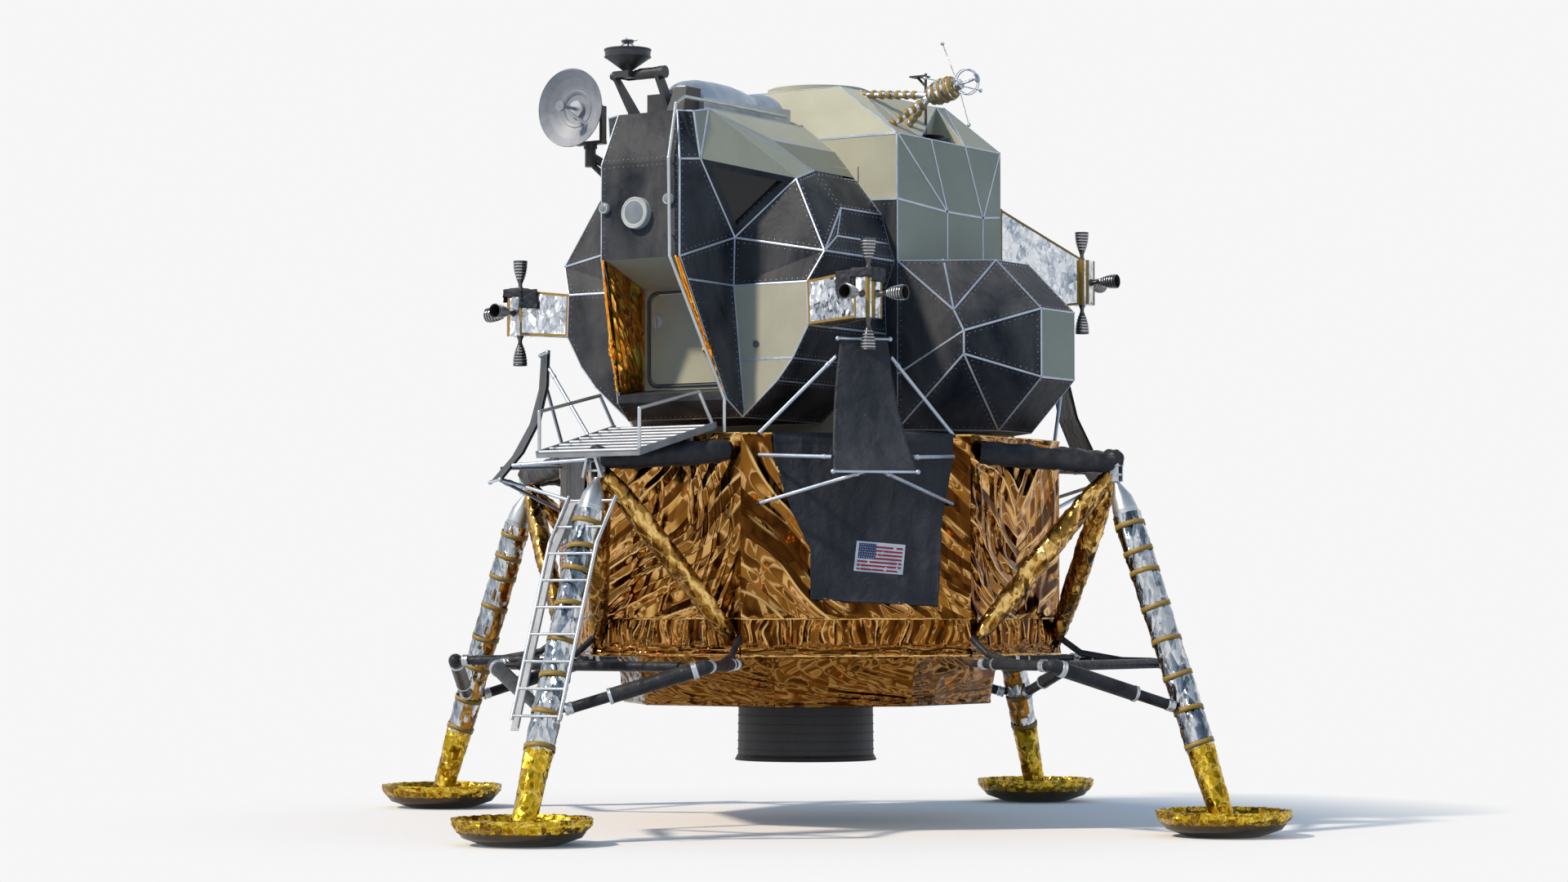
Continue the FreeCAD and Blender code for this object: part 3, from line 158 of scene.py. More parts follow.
# %% [markdown]
# ## Foil
# Metallised film looks like a broken mirror. Each fold shows another part of the room, so its tone is a painted
# reflection that depends on how it is tipped. Here long cells give every fold a tilt of its own, the tilted normal is
# measured against one fixed direction, and the result runs back and forth along a ramp from deep brown to pale gold.
# Creases with a painted highlight, dark painted shade on the silver film, and painted glints, where the film mirrors
# itself, finish it. On walls the cells follow the folds, whose directions are kept in a UV map.

# %% Foil maker
def tipped(tree, pushes, against):
    """The normal tilted by some colours, and how far it then faces one fixed direction, which sets the painted
    reflection tone.
    """
    total = add(tree, "NewGeometry").outputs["Normal"]
    for colour, amount in pushes:
        lean = vector_of(tree, "MULTIPLY_ADD", colour, (amount,) * 3, (-amount / 2,) * 3)
        total = vector_of(tree, "ADD", total, lean.outputs[0]).outputs[0]
    unit = vector_of(tree, "NORMALIZE", total).outputs[0]
    return unit, vector_of(tree, "DOT_PRODUCT", unit, against).outputs["Value"]


def painted_glints(tree, colour, glint, fine, coarse):
    """Painted glints: bright speckles of reflection in a few patches over a colour; fine and coarse are (noise, low,
    high, brightest).
    """
    spots = [ramp(tree, value, [(low, (0, 0, 0)), (high, (top,) * 3)]) for value, low, high, top in (fine, coarse)]
    return mixed(tree, mixed(tree, 1.0, *spots, "MULTIPLY"), colour, glint)


def foil(name, tones, painted_crease, glint=None, scale=3.2, stretch=(1, 1, 0.35), turn=(0, 35, 0), fine=4.0,
         tip=(0.5, 0.35), roughness=0.16, bands=1.6, lines=0.6, against=(0.55, -0.35, 0.75)):
    material, tree, shader = finish(name, 1.0, roughness)
    vector = place(tree, stretch, turn)
    drift = plug(tree, add(tree, "TexNoise", Scale=scale * 0.5, Detail=2.0), {"Vector": vector})
    bent = plug(tree, add(tree, "Mix", data_type="VECTOR"), {0: 0.35 / scale, 4: vector, 5: drift.outputs["Color"]})
    cells = [plug(tree, add(tree, "TexVoronoi", feature=kind), {"Vector": bent.outputs[1], "Scale": size})
             for size, kind in ((scale, "F1"), (scale * fine, "F1"), (scale, "DISTANCE_TO_EDGE"))]
    unit, facing = tipped(tree, [(cell.outputs["Color"], amount) for cell, amount in zip(cells, tip)], against)
    edge = cells[2].outputs["Distance"]
    cloud = value_of(tree, "MULTIPLY", speckle(tree, scale * 2.2, vector, 3), 0.35)
    tone = value_of(tree, "PINGPONG", value_of(tree, "MULTIPLY_ADD", facing, bands, cloud), 1.0)
    # Pale lines along the cell edges are a painted highlight on the creases; on the silver film they are dark, a
    # painted shade.
    thin = ramp(tree, edge, [(0.0, (lines,) * 3), (0.012, (lines * 0.6,) * 3), (0.03, (0, 0, 0))])
    colour = mixed(tree, thin, ramp(tree, tone, tones), painted_crease)
    # Painted glints where the film mirrors itself.
    if glint:
        colour = painted_glints(tree, colour, glint, (speckle(tree, 24, None, 4, 0.7), 0.62, 0.68, 0.8),
                        (speckle(tree, 4.5, None, 2), 0.54, 0.64, 1))
    tree.links.new(colour, shader.inputs["Base Color"])
    heights = value_of(tree, "ADD", speckle(tree, 30, None, 5, 0.65), value_of(tree, "MULTIPLY", edge, 1.2))
    tree.links.new(unit, relief(tree, shader, heights, 0.004, 0.4).inputs["Normal"])
    return material


def fold_foil(name, tones, crest, glint, bands=1.7, spread=0.10, roughness=0.12, against=(0.50, -0.42, 0.75), line=0.10,
              flank=0.8):
    """Foil for the walls: the tone, a painted reflection, follows the tilt of the folds and each flank has its own;
    strong crests get a pale painted highlight.
    """
    material, tree, shader = finish(name, 1.0, roughness)
    axes = plug(tree, add(tree, "SeparateXYZ"), {0: add(tree, "UVMap", uv_map="folds").outputs["UV"]})
    crumb = plug(tree, add(tree, "TexVoronoi", Scale=3.5), {"Vector": place(tree, (1, 1, 0.7), (10, 30, 0))})
    unit, facing = tipped(tree, [(crumb.outputs["Color"], spread)], against)
    cloud = speckle(tree, 2.2, None, 2, 0.4, 0.3)
    number = value_of(tree, "FLOOR", value_of(tree, "MULTIPLY", axes.outputs[0], 2.0))
    own = plug(tree, add(tree, "TexWhiteNoise", noise_dimensions="1D"), {"W": number})
    each = value_of(tree, "MULTIPLY_ADD", own.outputs["Value"], flank, value_of(tree, "MULTIPLY", cloud, 0.75))
    tone = value_of(tree, "PINGPONG", value_of(tree, "MULTIPLY_ADD", facing, bands, each), 1.0)
    colour = ramp(tree, tone, tones)
    # Pale lines on strong fold crests: a painted highlight.
    near = value_of(tree, "ABSOLUTE", value_of(tree, "SUBTRACT", value_of(tree, "FRACT", axes.outputs[0]), 0.5))
    thin = ramp(tree, near, [(0.0, (0.9,) * 3), (line * 0.5, (0.5,) * 3), (line, (0, 0, 0))])
    strong = ramp(tree, axes.outputs[1], [(0.35, (0, 0, 0)), (0.60, (1, 1, 1))])
    colour = mixed(tree, mixed(tree, 1.0, thin, strong, "MULTIPLY"), colour, crest)
    # Painted glints where the film mirrors itself.
    glint_spots = speckle(tree, 18, place(tree, (1, 1, 0.5), (0, 40, 0)), 4, 0.65)
    colour = painted_glints(tree, colour, glint, (glint_spots, 0.60, 0.67, 0.8), (speckle(tree, 3.1, None, 3), 0.56, 0.62, 1))
    tree.links.new(colour, shader.inputs["Base Color"])
    tree.links.new(unit, relief(tree, shader, speckle(tree, 9, None, 3, 0.5), 0.005, 0.2).inputs["Normal"])
    return material


# Tone ramps for the foils, read by tilt: each colour is a painted reflection, from dark mirrored surroundings to pale
# gold.
AMBER = [(0.0, (0.045, 0.016, 0.003)), (0.18, (0.105, 0.040, 0.006)), (0.34, (0.20, 0.085, 0.014)),
         (0.46, (0.085, 0.034, 0.006)), (0.56, (0.26, 0.115, 0.020)), (0.66, (0.46, 0.25, 0.055)),
         (0.75, (0.20, 0.12, 0.030)),
         (0.86, (0.34, 0.14, 0.022)), (1.0, (0.84, 0.55, 0.20))]
WRAP = [(0.0, (0.08, 0.032, 0.006)), (0.3, (0.19, 0.085, 0.014)), (0.5, (0.40, 0.21, 0.042)),
        (0.65, (0.26, 0.125, 0.024)),
        (0.8, (0.52, 0.31, 0.075)), (1.0, (0.80, 0.56, 0.22))]
SILVER = [(0.0, (0.05, 0.05, 0.052)), (0.22, (0.14, 0.16, 0.18)), (0.42, (0.28, 0.33, 0.39)), (0.6, (0.36, 0.42, 0.50)),
          (0.8, (0.50, 0.55, 0.60)), (1.0, (0.86, 0.88, 0.90))]
BOOM = [(0.0, (0.22, 0.24, 0.26)), (0.35, (0.40, 0.44, 0.50)), (0.7, (0.56, 0.61, 0.68)), (1.0, (0.86, 0.89, 0.93))]
BUTTER = [(0.0, (0.15, 0.070, 0.003)), (0.35, (0.36, 0.20, 0.008)), (0.6, (0.56, 0.36, 0.018)),
          (0.8, (0.40, 0.25, 0.010)),
          (1.0, (0.86, 0.64, 0.10))]
# Painted highlight colour for creases, and painted glint colour where the film mirrors itself.
CREASE_GLINT_GOLD, GLINT_ORANGE = (0.84, 0.56, 0.22), (0.70, 0.13, 0.006)
WALL = [(0.0, (0.040, 0.014, 0.003)), (0.18, (0.11, 0.044, 0.007)), (0.26, (0.16, 0.065, 0.010)),
        (0.285, (0.66, 0.45, 0.17)),
        (0.32, (0.24, 0.11, 0.017)), (0.46, (0.34, 0.165, 0.027)), (0.485, (0.74, 0.51, 0.20)),
        (0.52, (0.15, 0.062, 0.010)),
        (0.64, (0.26, 0.12, 0.019)), (0.68, (0.56, 0.33, 0.08)), (0.78, (0.80, 0.54, 0.20)),
        (0.82, (0.19, 0.085, 0.014)),
        (0.92, (0.38, 0.16, 0.026)), (1.0, (0.88, 0.62, 0.27))]


def tinted(tones, tint):
    """A ramp's tones, each multiplied by a tint."""
    return [(at, tuple(a * b for a, b in zip(tone, tint))) for at, tone in tones]


wall_foil = fold_foil("wall foil", tinted(WALL, (0.86, 0.76, 0.76)), CREASE_GLINT_GOLD, GLINT_ORANGE)
# The skirt's foil is the wall foil's tones darkened: a painted reflection of dark ground beneath the stage.
skirt_foil_dark_reflection = fold_foil("skirt foil", tinted(WALL, (0.36, 0.28, 0.21)), (0.36, 0.18, 0.04), (0.4, 0.08, 0.004), 1.0,
                       0.15,
                       0.18, line=0.06)
amber_foil = foil("amber foil", AMBER, CREASE_GLINT_GOLD, GLINT_ORANGE, 3.0, (1, 1, 0.5), (0, 25, 0), 3.0)
pleat_foil = fold_foil("pleated foil", tinted(WALL, (0.76, 0.60, 0.52)), (0.80, 0.52, 0.2), GLINT_ORANGE, 1.6, 0.2, 0.15,
                       line=0.14, flank=1.2)
# The recess foil has the amber tones brightened: its own gold colour plus painted light on foil that lies in shade in
# the recess.
recess_foil_painted_light = fold_foil("recess foil", [(at, (min(1, c[0] * 2.4 + 0.10), c[1] * 1.55 + 0.03, c[2] * 0.7)) for at,
                                        c in AMBER], (1.0, 0.66, 0.26),
                        (0.9, 0.22, 0.01), 1.2, 0.25, 0.2)
wrap_gold = foil("gold wrap", WRAP, (0.72, 0.48, 0.18), GLINT_ORANGE, 7.0, (1, 1, 0.55), (20, 30, 0), 3.0, (0.5, 0.4), 0.2)
brown_wrap = foil("brown wrap", AMBER[:8], (0.45, 0.25, 0.08), GLINT_ORANGE, 6.0, (1, 1, 0.3), (8, 16, 0), 3.0, (0.4, 0.3),
                  0.2)
pad_gold = foil("footpad foil", BUTTER, (0.9, 0.7, 0.25), (0.5, 0.2, 0.02), 11, (1, 1, 0.7), (0, 20, 0), 3.0,
                (0.6, 0.5), 0.3)
# The silver film's dark crease lines are painted shade.
silver_foil = foil("silver foil", BOOM, (0.10, 0.11, 0.12), None, 15, (1, 1, 0.6), (30, 20, 0), 2.6, (0.42, 0.34), 0.34,
                   lines=0.5)
strut_silver = foil("strut silver", tinted(SILVER, (0.82, 0.82, 0.82)), (0.93, 0.95, 0.98), None, 4.5, (1.6, 1.6, 0.5),
                    (8, 12, 0), 4.0, (0.5, 0.5), 0.14,
                    lines=0.35)
print("foils:", wall_foil.name, pad_gold.name, silver_foil.name)

# %% [markdown]
# ## Painted panels, blankets and bare metal
# The dark skins are thin sheet with a mottled heat-resistant coat; the pale ones are chalky paint. Blankets are
# matt coated cloth with soft creases. Bare metal is aluminium with a faint brushing.

# %% Paint, cloth and metal makers
def coat(name, low, high, roughness=0.55, scale=2.6, grain=260, metallic=0.0, depth=0.004, streak=(1, 1, 1), gloss=0.5):
    """Mottled paint: two tones in clouds, a fine grain and rubbed, slightly uneven gloss."""
    material, tree, shader = finish(name, metallic, roughness)
    shader.inputs["Specular IOR Level"].default_value = gloss
    clouds = speckle(tree, scale, place(tree, streak), 6, 0.62, 0.4)
    colour = ramp(tree, clouds, [(0.32, low), (0.52, tuple((a + b) / 2 for a, b in zip(low, high))), (0.72, high)])
    fine = speckle(tree, grain, None, 2)
    colour = mixed(tree, 0.16, colour, ramp(tree, fine, [(0.3, (0.1, 0.1, 0.1)), (0.7, (0.9, 0.9, 0.9))]), "OVERLAY")
    plug(tree, shader, {"Base Color": colour, "Roughness": value_of(tree, "MULTIPLY_ADD", clouds, 0.3,
                                                                    roughness - 0.15)})
    relief(tree, shader, value_of(tree, "ADD", speckle(tree, 9, None, 3, 0.5, 0.6),
                                  value_of(tree, "MULTIPLY", fine, 0.06)),
           depth, 0.5)
    return material


def metal(name, low, high, roughness=0.3, streak=(60, 60, 3), depth=0.0006, metallic=0.85):
    """Worked metal: long fine scratches and cloudy tone."""
    material, tree, shader = finish(name, metallic, roughness)
    lines = speckle(tree, 8, place(tree, streak), 5, 0.6)
    clouds = speckle(tree, 5, None, 4)
    colour = ramp(tree, value_of(tree, "MULTIPLY_ADD", lines, 0.4, value_of(tree, "MULTIPLY", clouds, 0.6)),
                  [(0.35, low), (0.65, high)])
    plug(tree, shader, {"Base Color": colour, "Roughness": value_of(tree, "MULTIPLY_ADD", clouds, 0.25,
                                                                    roughness - 0.12)})
    relief(tree, shader, lines, depth, 0.5)
    return material


dark_skin = coat("dark skin", (0.014, 0.018, 0.025), (0.116, 0.111, 0.106), 0.44, 1.6, depth=0.014,
                 streak=(1.3, 1.3, 0.7), gloss=0.08)
# The roof's cream is a darker copy of the cream paint: painted shade on the top sheets, which the high sun lights more
# than the front.
roof_cream_painted_shade = coat("roof paint", (0.300, 0.280, 0.198), (0.372, 0.350, 0.248), 0.62, 1.3, 420, depth=0.002, gloss=0.15)
cream_paint = coat("cream paint", (0.430, 0.409, 0.295), (0.534, 0.503, 0.368), 0.62, 1.3, 420, depth=0.002, gloss=0.15)
black_cloth = coat("black cloth", (0.018, 0.022, 0.029), (0.062, 0.062, 0.066), 0.44, 2.4, 300, depth=0.05,
                   streak=(1.5, 1.5, 0.6), gloss=0.18)
black_tape = coat("black wrap", (0.012, 0.013, 0.016), (0.058, 0.057, 0.06), 0.40, 7.0, 200, depth=0.03, gloss=0.2)
bracket_black = coat("bracket black", (0.018, 0.020, 0.024), (0.045, 0.046, 0.05), 0.4, 8.0, 300, depth=0.001)
dish_paint = coat("dish white", (0.23, 0.24, 0.26), (0.38, 0.39, 0.41), 0.52, 5.0, 300, 0.15, depth=0.001)
lamp_ring_paint = coat("lamp ring", (0.50, 0.50, 0.46), (0.66, 0.65, 0.60), 0.5, 9.0, 300, depth=0.0005)
seal_grey = coat("seal grey", (0.045, 0.055, 0.065), (0.075, 0.085, 0.095), 0.6, 12.0, 300, depth=0.0008)
ochre_tape = coat("ochre tape", (0.24, 0.14, 0.018), (0.46, 0.28, 0.05), 0.5, 40.0, 600, depth=0.006, streak=(1, 1, 3))
aluminium = metal("bare aluminium", (0.42, 0.45, 0.48), (0.62, 0.66, 0.70), 0.34)
# The strips' aluminium grey carries a blue tint, a painted reflection of blue sky.
sky_tinted_strip_metal = metal("edge strip", (0.40, 0.46, 0.55), (0.62, 0.68, 0.76), 0.38, metallic=0.55)
slat_metal = metal("porch slats", (0.20, 0.21, 0.22), (0.34, 0.35, 0.37), 0.42, (4, 90, 90), metallic=0.5)
# The slat noses are a brighter copy of the slats' metal: a painted sheen along each lip.
nose_metal_painted_sheen = metal("slat noses", (0.74, 0.75, 0.76), (0.90, 0.90, 0.90), 0.3, (4, 90, 90), metallic=0.5)
engine_steel = metal("engine steel", (0.25, 0.25, 0.26), (0.42, 0.42, 0.43), 0.35)
bell_metal = metal("thruster metal", (0.05, 0.05, 0.052), (0.14, 0.14, 0.145), 0.3, (3, 3, 40))
rib_metal = metal("thruster ribs", (0.34, 0.35, 0.37), (0.60, 0.61, 0.63), 0.26, (3, 3, 40))
roof_skin = metal("roof skin", (0.34, 0.40, 0.47), (0.55, 0.60, 0.66), 0.34, (2, 40, 40), metallic=0.7)
rivet_metal = metal("rivets", (0.6, 0.62, 0.64), (0.8, 0.82, 0.84), 0.4, metallic=0.5)
inside_black = coat("bell inside", (0.008, 0.008, 0.009), (0.02, 0.02, 0.022), 0.7, 12, 300, depth=0.0005)
nozzle_coat = coat("nozzle coat", (0.022, 0.025, 0.030), (0.048, 0.050, 0.055), 0.5, 3.5, 240, 0.3, 0.001, (1, 1, 0.3))
pad_under = coat("footpad underside", (0.055, 0.035, 0.015), (0.12, 0.08, 0.035), 0.35, 5.0, 240, 0.4, 0.001)
red_stripe = coat("patch red", (0.30, 0.018, 0.03), (0.38, 0.03, 0.045), 0.6, 30, 500, depth=0.0005)
white_stripe = coat("patch white", (0.62, 0.65, 0.68), (0.74, 0.76, 0.78), 0.6, 30, 500, depth=0.0005)
blue_field = coat("patch blue", (0.018, 0.035, 0.11), (0.028, 0.05, 0.15), 0.6, 30, 500, depth=0.0005)


def glass(name, tint, roughness=0.06):
    """Dark glazing: a smooth coat over a tinted body with faint smears in its gloss."""
    material, tree, shader = finish(name, 0.0, roughness)
    smear = speckle(tree, 6, None, 4)
    plug(tree, shader, {"Base Color": ramp(tree, smear, [(0.3, tint), (0.7, tuple(c * 1.5 for c in tint))]),
                        "Roughness": value_of(tree, "MULTIPLY_ADD", smear, 0.12, roughness - 0.03),
                        "Specular IOR Level": 0.35})
    return material


window_glass = glass("window glass", (0.014, 0.014, 0.014))
lamp_glass = glass("lamp glass", (0.20, 0.22, 0.23), 0.15)
print(len(bpy.data.materials), "finishes")

# %% [markdown]
# ## Dressing the nodes
# A node whose solid shape is right keeps its mesh and only changes its material slots.

# %% Finishes on the nodes
LEGS = ("port", "aft", "starboard", "front")
FINISHES = {
    "descent_body": amber_foil, "base_skirt": amber_foil, "gimbal_ring": engine_steel, "engine_block": engine_steel,
    "engine_nozzle": nozzle_coat, "porch": slat_metal, "porch_rails": aluminium, "ladder": aluminium,
    "thermal_blankets": black_cloth, "interstage": aluminium, "cabin_shell": dark_skin, "cabin_windows": window_glass,
    "forward_hatch": cream_paint, "midsection": cream_paint, "docking_tunnel": cream_paint,
    "overhead_hatch": cream_paint, "tank_bay_port": dark_skin, "tank_bay_starboard": dark_skin, "aft_bay": dark_skin,
    "roof_fairing": roof_skin, "radar_mount": bracket_black, "radar_yoke": bracket_black, "radar_dish": bracket_black,
    "sband_mount": bracket_black, "sband_yoke": bracket_black, "sband_dish": dish_paint, "tripod_antenna": silver_foil,
    "umbrella_antenna": bracket_black, "cabin_handrail": aluminium, "front_lights": lamp_ring_paint,
}
for leg in LEGS:
    FINISHES.update({"footpad_" + leg: pad_gold, "strut_" + leg: strut_silver, "outrigger_" + leg: black_tape,
                     "side_struts_" + leg: black_tape})
for side in ("port", "starboard"):
    for end in ("front", "aft"):
        FINISHES["deflector_%s_%s" % (side, end)] = black_cloth
        FINISHES["rcs_%s_%s" % (side, end)] = silver_foil
for name, thing in nodes.items():
    for material_slot in thing.material_slots:
        material_slot.link = "OBJECT"
        material_slot.material = FINISHES[name]
print("dressed", len(FINISHES), "nodes; missing:", sorted(set(nodes) - set(FINISHES)))

# %% [markdown]
# ## Piece helpers
# A new piece is a bmesh turned into one object at the origin. Sharp edges stay sharp by angle.

# %% Piece maker
def piece(name, bm, material, body="root", smooth=40, more=()):
    """Finish a bmesh as a piece that rides a body."""
    mesh = bpy.data.meshes.new(name)
    bm.to_mesh(mesh)
    bm.free()
    for one in (material, *more):
        mesh.materials.append(one)
    thing = bpy.data.objects.new(name, mesh)
    bpy.context.scene.collection.objects.link(thing)
    if smooth:
        mesh.shade_smooth()
        mesh.set_sharp_from_angle(angle=math.radians(smooth))
    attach(thing, body)
    return thing


def thicken(thing, thickness, offset):
    """Give a sheet its thickness; offset 1 grows it outwards, 0 both ways."""
    solid = thing.modifiers.new("thickness", "SOLIDIFY")
    solid.thickness, solid.offset = thickness, offset


def pour(bm, part):
    """Add one bmesh to another and free it."""
    mesh = bpy.data.meshes.new("part")
    part.to_mesh(mesh)
    part.free()
    bm.from_mesh(mesh)
    bpy.data.meshes.remove(mesh)


def between(a, b, share):
    return a + (b - a) * share


def round_trip(points):
    """Each point with the next, and the last with the first."""
    return list(zip(points, points[1:] + points[:1]))


def read_off(table, at):
    """A value read off (place, value) rows, straight between them."""
    for (s0, r0), (s1, r1) in zip(table, table[1:]):
        if at <= s1:
            return r0 + (r1 - r0) * (at - s0) / (s1 - s0)
    return table[-1][1]


def block(bm, size, matrix):
    """A square-edged block of a size, put in place by a matrix."""
    bmesh.ops.create_cube(bm, size=1, matrix=matrix @ Matrix.Diagonal((*size, 1)))


def aim(start, end, up=Vector((0, 0, 1))):
    """Matrix at the middle of a run, with X along it and Z towards up."""
    along = (end - start).normalized()
    side = up.cross(along)
    if side.length < 1e-6:
        side = Vector((0, 1, 0)).cross(along)
    side.normalize()
    high = along.cross(side)
    turn = Matrix((along, side, high)).transposed().to_4x4()
    return Matrix.Translation((start + end) / 2) @ turn


def bar(bm, start, end, wide, thick, up=Vector((0, 0, 1)), extra=0.0):
    """A flat bar along a run, its thickness towards up."""
    block(bm, ((end - start).length + extra, wide, thick), aim(start, end, up))


def upright(spot, out):
    """Matrix at a place, with Z along out."""
    return Matrix.Translation(spot) @ Vector(out).to_track_quat("Z", "Y").to_matrix().to_4x4()


def sweep(bm, stations, sides=16, caps=True):
    """A tube through (centre, radius) stations: one ring, then rings extruded along."""
    centres = [Vector(c) for c, _ in stations]
    axis = (centres[1] - centres[0]).normalized()
    made = bmesh.ops.create_circle(bm, cap_ends=caps, segments=sides, radius=stations[0][1],
                                   matrix=upright(centres[0], axis))
    ring = made["verts"]
    edges = [e for e in dict.fromkeys(e for v in ring for e in v.link_edges) if all(v in ring for v in e.verts)]
    last_axis = axis
    for number in range(1, len(stations)):
        out = bmesh.ops.extrude_edge_only(bm, edges=edges)
        ring = [g for g in out["geom"] if isinstance(g, bmesh.types.BMVert)]
        edges = [g for g in out["geom"] if isinstance(g, bmesh.types.BMEdge) and all(v in ring for v in g.verts)]
        ahead_axis = (centres[min(number + 1, len(centres) - 1)] - centres[number - 1]).normalized()
        spin = last_axis.rotation_difference(ahead_axis).to_matrix()
        ratio = stations[number][1] / stations[number - 1][1]
        for v in ring:
            v.co = centres[number] + spin @ ((v.co - centres[number - 1]) * ratio)
        last_axis = ahead_axis
    if caps:
        bmesh.ops.contextual_create(bm, geom=edges)
    bmesh.ops.recalc_face_normals(bm, faces=bm.faces)
    return bm


def crumple(bm, depth, size, seed=0, stretch=(1, 1, 1), keep=None):
    """Push vertices out along their normals by creased noise."""
    bm.normal_update()
    moves = []
    for v in bm.verts:
        if keep and not keep(v.co):
            continue
        p = Vector((v.co.x * stretch[0], v.co.y * stretch[1],
                    v.co.z * stretch[2])) / size + Vector((seed * 7.3, seed * 3.1, 0))
        fold = 1 - abs(noise.noise(p) * 2)
        fold += 0.5 * (1 - abs(noise.noise(p * 2.3) * 2))
        moves.append((v, v.normal * depth * (fold - 0.75)))
    for v, move in moves:
        v.co += move


def quarter(index):
    """Turn about the centre line that takes the port leg to another leg."""
    return Matrix.Rotation(math.radians((0, 90, 180, 270)[index]), 4, "Z")


print("helpers ready")

# %% [markdown]
# ## Foil walls of the descent stage
# The box under the deck is an octagon wrapped in loose film. A flat grid is laid on each side and its points are
# pushed out in long slanting folds, which fan from the corners as the film does when it is pulled tight there.
# The solid box stays behind it and shows in any gap.

# %% Foil walls
def octagon(half, face):
    """Corners of an eight-sided plan, from the two half widths of its sides."""
    return [Vector(p) for p in ((face, -half), (half, -face), (half, face), (face, half),
                                (-face, half), (-half, face), (-half, -face), (-face, -half))]


def side_corners(low, high, z0, z1, taper=1.0):
    """A side's four corners, its foot drawn in by taper."""
    return [(low.x * taper, low.y * taper, z0), (high.x * taper, high.y * taper, z0), (high.x, high.y, z1),
            (low.x, low.y, z1)]


HALF, FACE = 2.157, 0.762
PLAN = octagon(HALF, FACE)
FILM_STEP = 0.0115  # the walls' grid pitch


def cover(bm, corners, across, rise, push):
    """A grid laid on four corners (low left, low right, high right, high left), each point pushed out.

    push gives the height and the two fold coordinates, which go into the UV map named folds."""
    low_left, low_right, high_right, high_left = [Vector(c) for c in corners]
    layer = bm.loops.layers.uv.get("folds") or bm.loops.layers.uv.new("folds")
    made = bmesh.ops.create_grid(bm, x_segments=across, y_segments=rise, size=1)
    out = (low_right - low_left).cross(high_left - low_left).normalized()
    along = {}
    for v in made["verts"]:
        s, t = (v.co.x + 1) / 2, (v.co.y + 1) / 2
        flat = between(between(low_left, low_right, s), between(high_left, high_right, s), t)
        height, q, r = push(flat, s, t)
        along[v] = (q, r)
        v.co = flat + out * height
    for face in {f for v in made["verts"] for f in v.link_faces}:
        for loop in face.loops:
            loop[layer].uv = along[loop.vert]
    return made["verts"]


BLANKET = [(-0.720, 3.358), (-0.700, 3.080), (-0.560, 2.700), (-0.400, 2.380), (-0.400, 1.960), (0.700, 1.900),
           (0.740, 2.650), (0.830, 3.150), (0.830, 3.358)]


def depth_in(outline, x, z):
    """How far a point lies inside an outline, or minus one outside it."""
    inside, nearest = False, 9.0
    for (x0, z0), (x1, z1) in round_trip(outline):
        if (z0 > z) != (z1 > z) and x < (x1 - x0) * (z - z0) / (z1 - z0) + x0:
            inside = not inside
        span = Vector((x1 - x0, z1 - z0))
        share = max(0, min(1, Vector((x - x0, z - z0)).dot(span) / span.length_squared))
        nearest = min(nearest, (Vector((x0, z0)) + span * share - Vector((x, z))).length)
    return nearest if inside else -1


def ridge(u, r, seed):
    """One row of long ridges: the height, and u moved so that each crest lies at a half. Heights die away along r."""
    i = math.floor(u)
    f = u - i
    chance = noise.cell(Vector((i + 0.5, seed + 0.5, 0.5)))
    strong = max(0.0, min(1.0, 0.58 + 0.35 * (chance - 0.5)
                          + 1.25 * noise.noise(Vector((i * 1.71 + seed, r * 2.3, 0.3)))))
    crest = 0.5 + 0.5 * noise.noise(Vector((i * 3.1, r * 1.6, seed + 2)))
    crest = max(0.22, min(0.78, crest))
    if f < crest:
        return strong * f / crest, i + 0.5 * f / crest
    return strong * (1 - f) / (1 - crest), i + 0.5 + 0.5 * (f - crest) / (1 - crest)


def folds(seed, lean, wide, depth, base=0.004, fan=0.4, hidden=0, fold=(0.135, 0.41), vee=False):
    """Slanting folds over a wall; lean is how far they slope, fan how much they spread."""
    def push(flat, s, t):
        edge = min(s, 1 - s, t * 1.3 + 0.02, (1 - t) * 1.3 + 0.02, 0.05) / 0.05
        angle = lean + fan * (0.5 - t) * (1 if lean > 0 else -1) + 0.35 * noise.noise(Vector((s * 1.5, t * 1.5, seed)))
        x, y = (s - 0.5) * wide, (t - 0.5) * 1.6
        if vee:
            x = -abs(x)
        q = x * math.cos(angle) + y * math.sin(angle)
        r = y * math.cos(angle) - x * math.sin(angle)
        turn = angle - 0.75 if lean > 0 else angle + 0.75
        q2 = x * math.cos(turn) + y * math.sin(turn)
        first, u = ridge(q / fold[0] + 0.5 * noise.noise(Vector((q * 1.4, r * 1.1, seed))) + 20, r * fold[1] / 0.41,
                         seed)
        second, v = ridge(q2 / (fold[0] * 0.8) + 20, r, seed + 6)
        height = base + depth * edge * (0.8 * first + 0.42 * second * (1 - 0.5 * first))
        if hidden and depth_in(BLANKET, (s - 0.5) * wide * hidden, flat.z) > 0.02:
            height = 0.001
        return height, u, first
    return push


